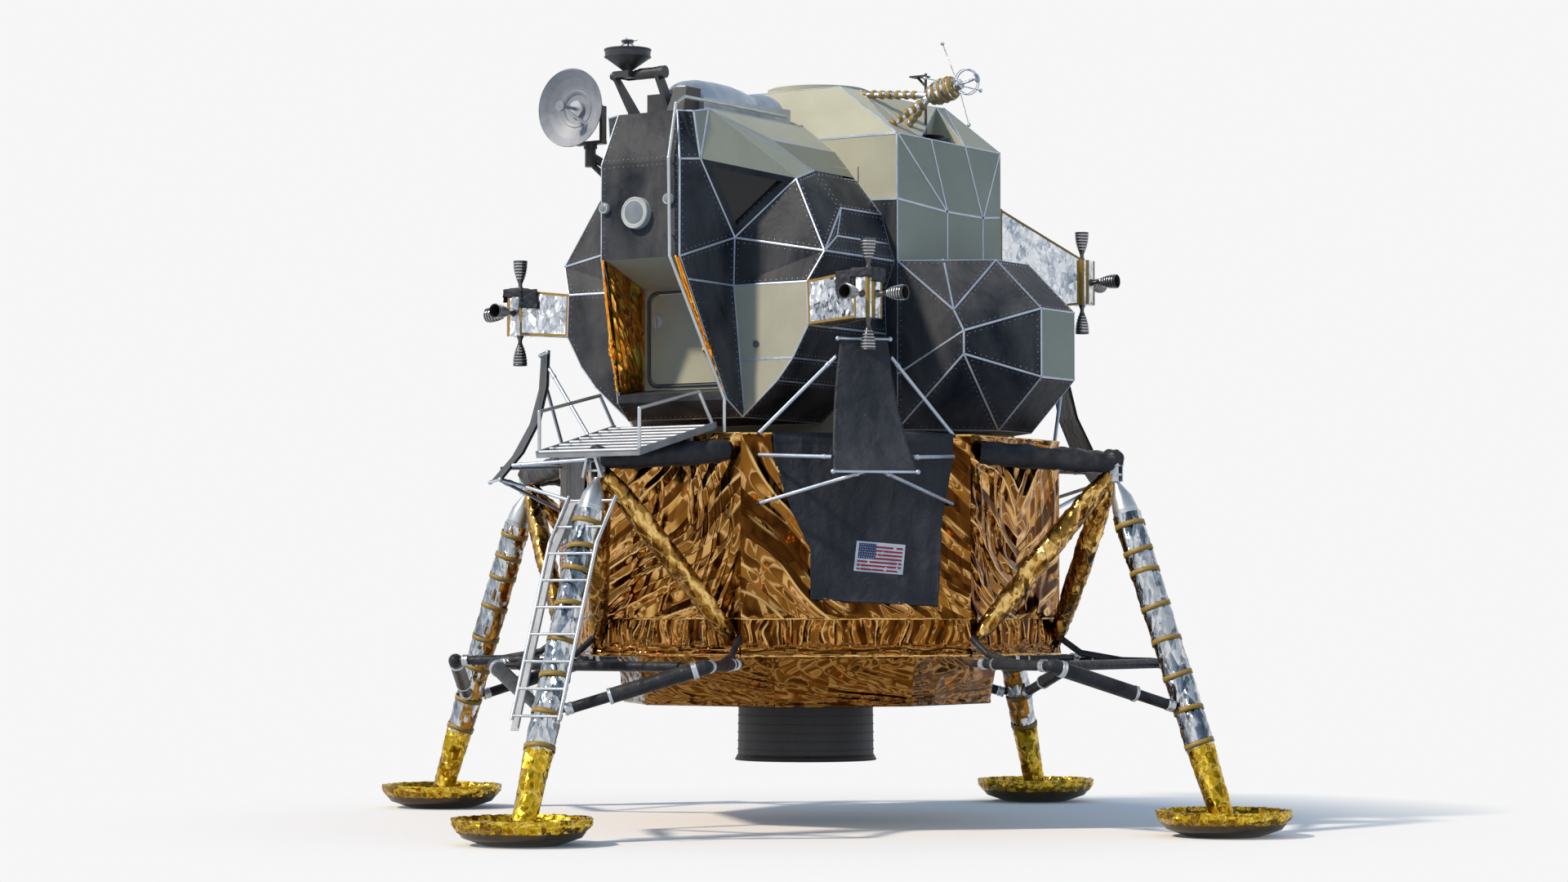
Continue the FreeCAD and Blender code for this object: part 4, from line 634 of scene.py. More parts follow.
LEANS = (0.85, 0.95, -0.8, 0.8, 0.8, -0.8, -0.85, -0.9)
pleats = bmesh.new()
for number, (low, high) in enumerate(round_trip(PLAN)):
    wide = (high - low).length
    walls = bmesh.new()
    cover(walls, side_corners(low, high, 1.80, 3.350), round(wide / FILM_STEP), round(1.55 / FILM_STEP),
          folds(number + 1, LEANS[number], wide, 0.042, hidden={0: 1, 6: -1}.get(number, 0), vee=number in (1, 5)))
    piece("stage_foil_wall_%d" % number, walls, wall_foil, smooth=38)

    def pleat(flat, s, t, seed=number, wide=wide):
        x = s * wide
        height, u = ridge(x / 0.062 + 1.1 * noise.noise(Vector((x * 4, t * 1.6, seed))) + 20, t * 0.5 + 0.2, seed + 40)
        if t < 0.30 + 0.12 * noise.noise(Vector((x * 6, 0, seed))):  # the lower third is folded under and creased along
            height, u = ridge(t * 9 + 1.4 * noise.noise(Vector((x * 3.5, t, seed + 3))) + 40, x * 1.5, seed + 60)
        hem = 0.012 * math.exp(-((t - 0.06) / 0.05) ** 2)
        return 0.004 + hem + 0.024 * height * min(1, t * 6 + 0.2, (1 - t) * 5 + 0.15), u, height
    cover(pleats, side_corners(low, high, 1.486, 1.797), round(wide / 0.008), 16, pleat)
piece("stage_foil_pleats", pleats, pleat_foil, smooth=38)
print("walls of", len(PLAN), "sides")

# %% [markdown]
# A seam strip hides where the two films meet, and narrow folded hems run down each corner, as tape and
# doubled film do on the real one.

# %% Seams and hems
seams = bmesh.new()
for low, high in round_trip(PLAN):
    for z, tall, proud in ((1.800, 0.016, 0.012), (1.492, 0.022, 0.014), (3.346, 0.018, 0.012)):
        a, b = Vector((low.x, low.y, z)), Vector((high.x, high.y, z))
        bar(seams, a, b, proud * 2, tall, extra=0.004)
bmesh.ops.bevel(seams, geom=list(seams.edges), offset=0.003, offset_type="OFFSET", segments=2, profile=0.5,
                affect="EDGES", material=-1)
piece("stage_foil_seams", seams, wrap_gold)

skirt = bmesh.new()
for number, (low, high) in enumerate(round_trip(octagon(1.570, 0.700))):
    creases = folds(number + 21, (0.9, -1.1, 1.2, 1.0)[number % 4], 1.3, 0.028, 0.004, 0.9, fold=(0.21, 0.30))

    def loose(flat, s, t, creases=creases):
        height, q, r = creases(flat, s, t)
        return height + 0.012 * math.exp(-((t - 0.04) / 0.03) ** 2), q, r
    cover(skirt, side_corners(low, high, 1.052, 1.480, 0.955), 90, 34, loose)
piece("skirt_foil_dark_reflection", skirt, skirt_foil_dark_reflection, smooth=38)
print("skirt and seams made")

# %% [markdown]
# ## Wrapped tubes of the gear
# Every outrigger and brace is a tube in loose wrap. A ring is swept along the tube's stations and then creased.
# The braces carry gold film, the outriggers black cloth tape with a few lumps where fittings hide.

# %% Outriggers and braces
def stations(start, end, shares, count=36):
    """Even stations along a run, with radii read off a short table."""
    out = []
    for i in range(count + 1):
        u = i / count
        for (u0, r0), (u1, r1) in zip(shares, shares[1:]):
            if u0 <= u <= u1 + 1e-9:
                out.append((between(start, end, u), between(r0, r1, (u - u0) / max(u1 - u0, 1e-9))))
                break
    return out


def mirror_y(v):
    return Vector((v.x, -v.y, v.z))


for index, leg in enumerate(LEGS):
    black, gold = bmesh.new(), bmesh.new()
    for flip in (lambda v: v, mirror_y):
        one = bmesh.new()
        lumps = [(0, 0.080), (0.08, 0.104), (0.2, 0.096), (0.34, 0.106), (0.42, 0.092), (0.62, 0.094), (0.72, 0.104),
                 (0.8, 0.090), (0.93, 0.082), (1, 0.055)]
        sweep(one, stations(flip(Vector((2.19, 0.650, 3.205))), flip(Vector((3.125, 0.014, 3.111))), lumps), 20)
        crumple(one, 0.010, 0.11, index + 2)
        pour(black, one)
        one = bmesh.new()
        sweep(one, stations(flip(Vector((2.177, 0.692, 1.640))), flip(Vector((3.080, 0.022, 3.020))),
                            [(0, 0.046), (0.05, 0.068), (0.25, 0.084), (0.6, 0.094), (0.85, 0.084), (1, 0.048)], 60),
              24)
        crumple(one, 0.013, 0.10, index + 11 + flip(Vector((0, 1, 0))).y, (1.5, 1.5, 0.6))
        crumple(one, 0.003, 0.035, index + 5)
        pour(gold, one)
    elbow = bmesh.new()
    bmesh.ops.create_icosphere(elbow, subdivisions=4, radius=1, matrix=Matrix.Translation((3.105, 0, 3.150))
                               @ Matrix.Diagonal((0.100, 0.095, 0.086, 1)))
    crumple(elbow, 0.014, 0.07, index + 60)
    pour(black, elbow)
    clamp = bmesh.new()
    for y in (-0.040, 0.040):
        block(clamp, (0.085, 0.012, 0.150), Matrix.Translation((3.140, y, 3.035)))
    block(clamp, (0.100, 0.110, 0.030), Matrix.Translation((3.135, 0, 3.105)))
    for x in (3.115, 3.165):
        sweep(clamp, [((x, -0.056, 3.020), 0.013), ((x, 0.056, 3.020), 0.013)], 14)
    bmesh.ops.bevel(clamp, geom=[e for e in clamp.edges if e.calc_length() > 0.02], offset=0.003, segments=1,
                    affect="EDGES", profile=0.5, material=-1)
    for bm in (black, gold, clamp):
        bmesh.ops.transform(bm, matrix=quarter(index), verts=bm.verts)
    piece("apex_clamp_" + leg, clamp, aluminium, smooth=30)
    wrapped = piece("outrigger_wrap_" + leg, black, black_tape, smooth=50)
    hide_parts("outrigger_" + leg)
    piece("brace_wrap_" + leg, gold, wrap_gold, smooth=32)
print("wrapped", 4 * len(LEGS), "tubes")

# %% [markdown]
# ## Main struts
# The cylinder is wrapped in silver film on its outer side and amber film on the side that faces the engine, tied by
# bands of woven tape. The piston below it is bare gold film, and a spun aluminium cap closes the top.

# %% Strut wraps, bands and caps
FOOT, APEX = Vector((4.137, 0, 0.120)), Vector((3.142, 0, 2.952))
LENGTH = (APEX - FOOT).length
UP = (APEX - FOOT) / LENGTH


def on_strut(along):
    return FOOT + UP * along


CAP = [(0.300, 0.106), (0.294, 0.112), (0.270, 0.112), (0.264, 0.104), (0.256, 0.104), (0.250, 0.108), (0.140, 0.090),
       (0.060, 0.052), (0.016, 0.030), (-0.004, 0.028)]
BANDS = [LENGTH - d for d in (0.392, 0.617, 0.807, 1.112, 1.417, 1.722, 2.030, 2.320)]
for index, leg in enumerate(LEGS):
    wrap = bmesh.new()
    sweep(wrap, stations(on_strut(0.645), on_strut(LENGTH - 0.292), [(0, 0.119), (1, 0.119)], 90), 32)
    crumple(wrap, 0.011, 0.16, index + 31, (1.6, 1.6, 0.7))
    crumple(wrap, 0.004, 0.05, index + 3)
    for face in wrap.faces:
        face.material_index = 1 if face.normal.x < -0.45 else 0
    bands = bmesh.new()
    for number, at in enumerate(BANDS):
        tilt = 0.10 * (1 if number % 2 else -0.6)
        made = bmesh.ops.create_cone(bands, cap_ends=False, segments=40, radius1=0.127, radius2=0.127, depth=0.044)
        bmesh.ops.transform(bands, matrix=upright(on_strut(at), UP) @ Matrix.Rotation(tilt, 4, "Y"),
                            verts=made["verts"])
    bmesh.ops.recalc_face_normals(bands, faces=bands.faces)
    piston = bmesh.new()
    sweep(piston, stations(on_strut(0.05), on_strut(0.66), [(0, 0.100), (0.5, 0.107), (1, 0.121)], 40), 28)
    crumple(piston, 0.005, 0.07, index + 71)
    cap = bmesh.new()
    sweep(cap, [(on_strut(LENGTH - down), radius) for down, radius in CAP], 36)
    for bm in (wrap, bands, piston, cap):
        bmesh.ops.transform(bm, matrix=quarter(index), verts=bm.verts)
    piece("strut_wrap_" + leg, wrap, strut_silver, smooth=32, more=(brown_wrap,))
    thicken(piece("strut_bands_" + leg, bands, ochre_tape), 0.005, 0)
    piece("strut_piston_" + leg, piston, pad_gold, smooth=32)
    piece("strut_cap_" + leg, cap, aluminium, smooth=30)
print(len(BANDS), "bands on each strut")

# %% [markdown]
# ## Footpads
# A pad is a shallow honeycomb bowl. Spinning its profile once about its own axis gives the shell, the wall above the
# curved underside is creased as loose film, and the underside stays smooth and brown.

# %% Footpads
PAD = [(0.0, 0.001), (0.300, 0.001), (0.478, 0.062), (0.559, 0.165), (0.563, 0.216), (0.541, 0.216), (0.516, 0.165),
       (0.360, 0.094), (0.150, 0.060), (0.110, 0.119), (0.0, 0.119)]


def spun(bm, profile, steps=96):
    """Full turn of an (r, z) profile about the upright axis."""
    points = [bm.verts.new((r, 0, z)) for r, z in profile]
    edges = [bm.edges.new(pair) for pair in zip(points, points[1:])]
    bmesh.ops.spin(bm, geom=points + edges, cent=(0, 0, 0), axis=(0, 0, 1), angle=math.tau, steps=steps, use_merge=True)
    bmesh.ops.remove_doubles(bm, verts=bm.verts, dist=0.0003)
    bmesh.ops.recalc_face_normals(bm, faces=bm.faces)
    return bm


for index, leg in enumerate(LEGS):
    pad = spun(bmesh.new(), PAD, 120)
    bmesh.ops.subdivide_edges(pad, edges=[e for e in pad.edges if abs(e.verts[0].co.z - e.verts[1].co.z) > 0.02
                                          and (e.verts[0].co.xy - e.verts[1].co.xy).length < 0.16], cuts=5)
    for face in pad.faces:
        middle = face.calc_center_median()
        face.material_index = 1 if middle.z < 0.118 and face.normal.z < -0.2 else 0
    crumple(pad, 0.013, 0.07, index + 41, keep=lambda co: co.z > 0.10 and co.xy.length > 0.40)
    crumple(pad, 0.006, 0.03, index + 45, keep=lambda co: co.z > 0.10 and co.xy.length > 0.40)
    bmesh.ops.transform(pad, matrix=quarter(index) @ Matrix.Translation((4.137, 0, 0)), verts=pad.verts)
    shell = piece("footpad_shell_" + leg, pad, pad_gold, smooth=35, more=(pad_under,))
    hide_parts("footpad_" + leg)
print("four pads")

# %% [markdown]
# ## Lower gear fittings
# The black tubes end in bright clamps and collars. Short ribbed rings are swept on the tubes' own lines.

# %% Clamps and collars
KNEE, CORNER = Vector((3.119, 1.077, 1.414)), Vector((2.157, 0.762, 1.425))
GRIP = between(APEX, FOOT, 0.68)
for index, leg in enumerate(LEGS):
    collars = bmesh.new()
    for flip in (lambda v: v, mirror_y):
        for start, end, at, wide, radius in ((CORNER, KNEE, 0.16, 0.05, 0.050), (CORNER, KNEE, 0.90, 0.06, 0.054),
                                             (KNEE, GRIP, 0.07, 0.05, 0.071), (KNEE, GRIP, 0.60, 0.03, 0.069),
                                             (KNEE, GRIP, 0.86, 0.07, 0.052), (CORNER, KNEE, 0.30, 0.02, 0.053)):
            a, b = flip(start), flip(end)
            along = (b - a).normalized()
            middle = between(a, b, at)
            steps = [(-0.5, 0.9), (-0.42, 1.0), (-0.15, 1.0), (-0.1, 0.94), (0.1, 0.94), (0.15, 1.0), (0.42, 1.0),
                     (0.5, 0.9)]
            sweep(collars, [(middle + along * wide * u, radius * k) for u, k in steps], 20)
    for share in (0.05, 0.95):
        a, b = mirror_y(KNEE), KNEE
        middle = between(a, b, share)
        sweep(collars, [(middle + Vector((0, 0.03 * u, 0)), 0.036 if abs(u) < 1 else 0.030)
                        for u in (-1, -0.8, 0.8, 1)], 18)
    bmesh.ops.transform(collars, matrix=quarter(index), verts=collars.verts)
    piece("gear_collars_" + leg, collars, aluminium)
print("collars on", len(LEGS), "legs")

# %% [markdown]
# ## Black blankets and patches
# A blanket is a coated cloth sheet laced over the slanted bow faces. Its outline is cut from one fine grid by planes,
# what lies outside is deleted, and soft folds raise it a little. The patch on it is a generic striped flag of thin
# film.

# %% Blankets
SLANT = (HALF + FACE) / math.sqrt(2)


def on_slant(along, out, z, side=1):
    """Place on the slanted bow face: along it towards the beam, out from the centre line, height."""
    k = math.sqrt(0.5)
    return Vector((side * (out * k + along * k), -out * k + along * k, z))


def cloth_grid(outline, step):
    """A fine grid over an outline (along, z), cut along its lines, in slant coordinates (along, 0, z)."""
    bm = bmesh.new()
    xs, zs = [x for x, _ in outline], [z for _, z in outline]
    wide, tall = max(xs) - min(xs), max(zs) - min(zs)
    bmesh.ops.create_grid(bm, x_segments=max(2, round(wide / step)), y_segments=max(2, round(tall / step)), size=0.5,
                          matrix=Matrix.Translation(((max(xs) + min(xs)) / 2, 0, (max(zs) + min(zs)) / 2))
                          @ Matrix.Rotation(math.radians(90), 4, "X") @ Matrix.Diagonal((wide, tall, 1, 1)))
    middle = Vector((sum(xs) / len(xs), 0, sum(zs) / len(zs)))
    for (x0, z0), (x1, z1) in round_trip(outline):
        normal = Vector((z1 - z0, 0, x0 - x1)).normalized()
        start = Vector((x0, 0, z0))
        if normal.dot(middle - start) > 0:
            normal = -normal
        bmesh.ops.bisect_plane(bm, geom=list(bm.verts) + list(bm.edges) + list(bm.faces), plane_co=start,
                               plane_no=normal,
                               dist=0.0001)
    spare = [f for f in bm.faces if depth_in(outline, f.calc_center_median().x, f.calc_center_median().z) < 0]
    bmesh.ops.delete(bm, geom=spare, context="FACES")
    return bm


def wrinkle(along, z, seed, size=1.0):
    """Soft folds of hanging cloth, mostly upright, with a few dents."""
    tall = noise.noise(Vector((along * 9 / size, z * 1.6 / size, seed)))
    dent = noise.noise(Vector((along * 3 / size, z * 3 / size, seed + 5)))
    return 0.6 * tall + 0.7 * dent + 0.2 * noise.noise(Vector((along * 24 / size, z * 12 / size, seed)))


def blanket_lift(along, z, side):
    """How far the cloth stands off the wall there, and how near its edge is."""
    near = max(0.0, depth_in(BLANKET, along, z))
    return 0.016 + 0.016 * min(1, near / 0.12) * (0.6 + wrinkle(along, z, side * 3)), near


for side, word in ((1, "port"), (-1, "starboard")):
    upper = cloth_grid(BLANKET, 0.022)
    for v in upper.verts:
        along, z = v.co.x, v.co.z
        lift, near = blanket_lift(along, z, side)
        lift += 0.008 * math.exp(-near / 0.02)
        lift += 0.014 * math.exp(-((z - 3.300) / 0.016) ** 2)  # the lacing at its head
        v.co = on_slant(along, SLANT + lift, z, side)
    bmesh.ops.recalc_face_normals(upper, faces=upper.faces)
    sample = next(iter(upper.faces))
    if sample.normal.dot(on_slant(0, 1, 0, side)) < 0:
        bmesh.ops.reverse_faces(upper, faces=upper.faces)
    thicken(piece("bow_blanket_" + word, upper, black_cloth, smooth=60), 0.006, 1)
print("blankets laid")

# %% Patches
PATCH = [(-0.031, 2.202), (0.392, 2.169), (0.415, 2.420), (-0.003, 2.453)]


def patch_point(s, t, side):
    low_left, low_right, high_right, high_left = [Vector((x, z, 0)) for x, z in PATCH]
    if side < 0:
        s, t = 1 - s, t
    flat = between(between(low_left, low_right, s), between(high_left, high_right, s), t)
    return flat.x + (0.38 if side < 0 else 0), flat.y + (0.06 if side < 0 else 0)


def patch_field(bm, s0, s1, t0, t1, side, proud):
    """A small bent field of film on the blanket."""
    made = bmesh.ops.create_grid(bm, x_segments=12, y_segments=4, size=1)
    for v in made["verts"]:
        s, t = s0 + (s1 - s0) * (v.co.x + 1) / 2, t0 + (t1 - t0) * (v.co.y + 1) / 2
        along, z = patch_point(s, t, side)
        v.co = on_slant(along, SLANT + blanket_lift(along, z, side)[0] + proud, z, side)


for side, word in ((1, "port"), (-1, "starboard")):
    white, red, blue, dots = bmesh.new(), bmesh.new(), bmesh.new(), bmesh.new()
    patch_field(white, 0, 1, 0, 1, side, 0.0075)
    for number in range(7):
        t0 = 0.055 + number * 0.127
        patch_field(red, 0.405 if number > 2 else 0.05, 0.95, t0, t0 + 0.063, side, 0.0085)
    patch_field(blue, 0.055, 0.405, 0.44, 0.945, side, 0.0095)
    for row in range(6):
        for column in range(7):
            s = 0.085 + 0.048 * column + (0.012 if row % 2 else 0)
            along, z = patch_point(s, 0.485 + 0.083 * row, side)
            spot = on_slant(along, SLANT + (blanket_lift(along, z, side)[0] + 0.0103), z, side)
            bmesh.ops.create_circle(dots, cap_ends=True, segments=6, radius=0.0036,
                                    matrix=upright(spot, on_slant(0, 1, 0, side)))
    for bm in (white, red, blue, dots):
        bmesh.ops.recalc_face_normals(bm, faces=bm.faces)
        outward = on_slant(0, 1, 0, side)
        bmesh.ops.reverse_faces(bm, faces=[f for f in bm.faces if f.normal.dot(outward) < 0])
    for label, bm, paint in (("white", white, white_stripe), ("red", red, red_stripe), ("blue", blue, blue_field),
                             ("dots", dots, white_stripe)):
        piece("patch_%s_%s" % (label, word), bm, paint)
print("patches sewn")

# %% [markdown]
# ## Plume deflectors
# Each panel hangs on six rods under a thruster. Its sheet bends outwards at the foot, where a rod with round ends
# stiffens its hem, and a second one stiffens its head. The rods are bright tube; the cloth skin is black.

# %% Deflector skins and rods
ROD = 0.0165
BENDS = [(2.330, 1.00, 0.195), (2.345, 0.72, 0.235), (2.420, 0.45, 0.275), (2.570, 0.20, 0.315), (2.760, 0.0, 0.350)]


def on_panel(share, across, low, top, seed):
    """Place on a deflector: share from foot to head, across from -1 to 1."""
    for (o1, s1, w1), (o0, s0, w0) in zip(BENDS, BENDS[1:]):
        if s0 <= share <= s1:
            u = (share - s0) / (s1 - s0)
            out, half = between(o0, o1, u), between(w0, w1, u)
            break
    edge = 1 - abs(across) ** 4
    lift = 0.024 + 0.020 * edge * wrinkle(across * half, low + share * 1.1, seed, 0.9)
    return across * half * 1.01, out + lift, low + (top - low) * share


for word, side, fore, top in (("port_front", 1, 1, 4.150), ("starboard_front", -1, 1, 4.150),
                              ("port_aft", 1, -1, 4.3305), ("starboard_aft", -1, -1, 4.3305)):
    low = 3.010

    def put(point, side=side, fore=fore):
        return Vector((point.x, point.y * fore, point.z))
    skin = bmesh.new()
    made = bmesh.ops.create_grid(skin, x_segments=22, y_segments=54, size=1)
    for v in made["verts"]:
        along, out, z = on_panel((v.co.y + 1) / 2, v.co.x, low, top, side * 2 + fore)
        v.co = put(on_slant(along, out, z, side))
    bmesh.ops.recalc_face_normals(skin, faces=skin.faces)
    outward = put(on_slant(0, 1, 0, side))
    if sum(f.normal.dot(outward) for f in skin.faces) < 0:
        bmesh.ops.reverse_faces(skin, faces=skin.faces)
    thicken(piece("deflector_skin_" + word, skin, black_cloth, smooth=60), 0.006, 0)
    rods = bmesh.new()
    for s in (-1, 1):
        for start, end in (((s * 0.850, SLANT, 3.333), (s * 0.225, 2.345, low + (top - low) * 0.86)),
                           ((s * 0.850, SLANT, 3.168), (s * 0.335, 2.690, low + 0.120)),
                           ((s * 0.850, SLANT, 2.758), (s * 0.040, 2.752, low + 0.012))):
            a, b = put(on_slant(*start, side)), put(on_slant(*end, side))
            sweep(rods, [(between(a, b, u), ROD) for u in (0.03, 0.5, 0.985)], 12)
            sweep(rods, [(between(a, b, u), r) for u, r in ((0.86, ROD), (0.865, 0.021), (0.90, 0.021), (0.905, ROD))],
                  12)
    for share, spread in ((0.0, 1.01), (0.985, 1.12)):
        along, far, z = on_panel(share, 1.0, low, top, 0)
        a, b = [put(on_slant(way * along * spread, far + 0.004, z - 0.004, side)) for way in (-1, 1)]
        sweep(rods, [(between(a, b, u), 0.011) for u in (0, 0.5, 1)], 10)
        for end in (a, b):
            bmesh.ops.create_icosphere(rods, subdivisions=3, radius=0.021, matrix=Matrix.Translation(end))
    piece("deflector_rods_" + word, rods, sky_tinted_strip_metal)
print("four deflectors")

# %% [markdown]
# ## Skins of the ascent stage
# The cabin is folded from flat sheets. Each flat area of the solid is found by merging its triangles, then every
# edge gets a thin two-winged strip, every dark sheet gets rows of small rivets just inside its edges, and the pale
# sheets are laid on as separate plates.

# %% Flat areas, strips and rivets
from mathutils.bvhtree import BVHTree


def flat_copy(node):
    """A bmesh of a node's mesh with doubles merged and flat areas joined."""
    bm = bmesh.new()
    bm.from_mesh(nodes[node].data)
    bmesh.ops.remove_doubles(bm, verts=bm.verts, dist=0.0003)
    bmesh.ops.dissolve_limit(bm, angle_limit=math.radians(0.4), verts=bm.verts, edges=bm.edges)
    bm.normal_update()
    return bm


def folded(p):
    """The same place on the port side."""
    return Vector((abs(p.x), p.y, p.z))


def skipped(a, b, skip):
    """Whether both ends of a run lie at the corners of one of the runs in skip, on either side of the lander."""
    return any(all(min((folded(p) - q).length for q in run) < 0.035 for p in (a, b)) for run in skip)


def edge_strips(bm, chosen, target, wide=0.009, thick=0.003, least=0.06, angle=2, skip=()):
    """Two thin wings along every edge between chosen faces, but for the runs named in skip."""
    count = 0
    for edge in bm.edges:
        faces = [f for f in edge.link_faces if f in chosen]
        if len(edge.link_faces) != 2 or not faces or edge.calc_length() < least:
            continue
        if math.degrees(edge.link_faces[0].normal.angle(edge.link_faces[1].normal)) < angle:
            continue
        a, b = edge.verts[0].co, edge.verts[1].co
        if skipped(a, b, skip):
            continue
        along = (b - a).normalized()
        for face in edge.link_faces:
            inward = face.normal.cross(along)
            if inward.dot(face.calc_center_median() - (a + b) / 2) < 0:
                inward.negate()
            matrix = Matrix((along, inward, face.normal)).transposed()
            if matrix.determinant() < 0:
                matrix = Matrix((-along, inward, face.normal)).transposed()
            matrix = Matrix.Translation((a + b) / 2 + inward * (wide / 2 - 0.001)
                                        + face.normal * thick / 2) @ matrix.to_4x4()
            block(target, ((b - a).length + 0.004, wide, thick), matrix)
            count += 1
    return count


def laid(target, tree, points, wide=0.016, thick=0.004):
    """Strips from point to point, drawn down on a surface known by its search tree."""
    points = [Vector(p) for p in points]
    spots = [points[0]]
    for a, b in zip(points, points[1:]):
        spots += [tree.find_nearest(between(a, b, k / 8))[0] for k in range(1, 8)] + [b]
    for a, b in zip(spots, spots[1:]):
        out = Vector((0, 0, 0))
        for share in (0.3, 0.5, 0.7):
            out += tree.find_nearest(between(a, b, share))[1]
        out.normalize()
        block(target, ((b - a).length + 0.004, wide, thick), Matrix.Translation(out * thick / 2) @ aim(a, b, out))


def rivet_line(target, start, end, out, pitch=0.052, radius=0.0036):
    """A row of small domes from start to end."""
    steps = max(1, int((end - start).length / pitch))
    for number in range(steps + 1):
        spot = between(start, end, number / steps) + out * 0.0012
        bmesh.ops.create_cone(target, cap_ends=True, segments=6, radius1=radius, radius2=radius * 0.55, depth=0.003,
                              matrix=upright(spot, out))
    return steps + 1


def rivet_rows(chosen, target, inset=0.034, least=0.16, skip=()):
    """Rows of rivets just inside the edges of chosen faces, but not along the runs named in skip."""
    count = 0
    for face in chosen:
        for loop in face.loops:
            a, b = loop.vert.co, loop.link_loop_next.vert.co
            if (b - a).length < least or skipped(a, b, skip):
                continue
            along = (b - a).normalized()
            inward = face.normal.cross(along)
            count += rivet_line(target, a + along * 0.045 + inward * inset, b - along * 0.045 + inward * inset,
                                face.normal)
    return count


def plates(bm, chosen, lift=0.0008, gap=0.010):
    """Copies of chosen faces, shrunk a little and raised."""
    out = bmesh.new()
    for face in chosen:
        corners = [out.verts.new(v.co + face.normal * lift) for v in face.verts]
        new = out.faces.new(corners)
        new.normal_update()
    bmesh.ops.inset_individual(out, faces=list(out.faces), thickness=gap, depth=0, use_even_offset=True)
    rims = [f for f in out.faces if f.calc_area() < 1e-9]
    if rims:
        bmesh.ops.delete(out, geom=rims, context="FACES")
    return out


print("strip and rivet tools ready")

# %% [markdown]
# The port cheek and the brow over the window are pale; the rest of the cabin is dark. Faces are chosen by where
# their middles lie, so the choice reads as a place on the lander.

# %% Cabin
C = {"F2": (0.307, -2.435, 6.06), "F1": (0.405, -2.54, 5.634), "F0": (0.405, -2.54, 4.82), "L": (0.564, -2.078, 3.64),
     "C1": (0.44, -2.39, 6.05), "Pk": (0.5, -2.258, 6.077), "C2": (0.46, -2.32, 5.653), "C3": (0.51, -1.88, 5.022),
     "C4": (0.5, -1.88, 4.615), "C5": (0.604, -1.88, 3.583), "R10": (1.355, -1.785, 4.875), "R8": (1.21, -1.307, 5.284),
     "AP": (1.002, -1.68, 5.515), "R6": (0.93, -1.296, 5.62), "RL2": (0.726, -1.604, 5.861), "b6": (0.93, -0.65, 5.62),
     "R9": (1.285, -1.486, 5.026), "b10": (1.34, -0.65, 4.875), "b1": (1.24, -0.65, 4.615), "R1": (1.24, -1.88, 4.615),
     "c2": (0.726, -0.65, 5.861), "c1": (0.4, -0.65, 6.105), "RL1": (0.4, -2.03, 6.105)}
C = {name: Vector(spot) for name, spot in C.items()}
SKIP = [[C[a], C[b]] for a, b in (
    ("F1", "C3"), ("C4", "R10"), ("AP", "R8"), ("F2", "C2"), ("F0", "C4"), ("F0", "C5"), ("F1", "F1"), ("F0", "F0"),
    ("F2", "F2"), ("L", "L"), ("C5", "L"), ("RL1", "Pk"), ("F2", "RL1"), ("Pk", "AP"), ("Pk", "RL2"), ("C2", "AP"),
    ("RL2", "R6"), ("R6", "b6"), ("R9", "b10"), ("R10", "b1"))]
SKIP += [[Vector((0.372, -2.60, 4.838)), Vector((0.372, -2.54, 4.838)), Vector((0.535, -2.11, 3.706))]]
SKIP += [[Vector((0, -2.435, 6.06)), C[name]] for name in ("F2", "RL1", "C1")]
pane = [C["C2"], C["AP"], C["C3"]]
SKIP += [[between(p, (pane[0] + pane[1] + pane[2]) / 3, 0.26) for p in pane]]
cabin = flat_copy("cabin_shell")
for face in list(cabin.faces):  # the brow's upper sheet and the darker one behind it are one flat area
    ends = [v for v in face.verts if any((folded(v.co) - C[n]).length < 0.03 for n in ("AP", "R6"))]
    if len(ends) == 2 and len(face.verts) == 4 and face.normal.z > 0.5:
        bmesh.ops.connect_verts(cabin, verts=ends)
skin_tree = BVHTree.FromBMesh(cabin)
outer = []
for face in cabin.faces:
    middle = face.calc_center_median()
    away = (middle - Vector((0, -1.1, 4.9))).dot(face.normal)
    inward = abs(face.normal.x) > 0.3 and middle.x * face.normal.x < 0
    inside = abs(middle.x) < 0.56 and -2.45 < middle.y and middle.z < 4.83 and inward
    if face.calc_area() > 0.004 and away > 0.28 and not inside and -2.6 < middle.y < -0.66 and face.normal.y < 0.4:
        outer.append(face)
recess_back = [f for f in cabin.faces if f.normal.y < -0.99 and abs(f.calc_center_median().y + 1.83) < 0.005]
recess_top = [f for f in cabin.faces if f.normal.z < -0.9 and abs(f.calc_center_median().y + 2.185) < 0.06
              and 4.6 < f.calc_center_median().z < 4.85]
outer = [f for f in outer if f not in recess_back + recess_top]
pale = []
for face in outer:
    middle = face.calc_center_median()
    cheek = middle.x > 0.5 and middle.y < -1.83 and middle.z < 4.62 and face.normal.y < -0.97
    if cheek or middle.z > 5.69 and (face.normal.z > 0.35 or middle.y > -2.36):
        pale.append(face)
strips, rivets = bmesh.new(), bmesh.new()
window = [f for f in outer if f.calc_area() < 0.09 and len(f.verts) > 4 and abs(f.normal.y + 0.64) < 0.03]
made = edge_strips(cabin, {f for f in outer if f not in window}, strips, skip=SKIP, least=0.12)
for side in (1, -1):
    def at(name):
        return Vector((C[name].x * side, C[name].y, C[name].z))
    knee = between(at("F0"), at("L"), 0.16)
    laid(strips, skin_tree, [at("F0"), at("C3")])
    half_way = between(knee, at("C4"), 0.5)
    laid(strips, skin_tree, [knee, half_way])
    laid(strips, skin_tree, [half_way, at("C4")])
    laid(strips, skin_tree, [at("AP"), at("R6")])
    if side > 0:
        laid(strips, skin_tree, [(0.557, -1.8815, 3.984), (1.097, -1.8815, 3.984)], 0.018)
dotted = rivet_rows([f for f in outer if f not in pale and f not in window], rivets, skip=SKIP)
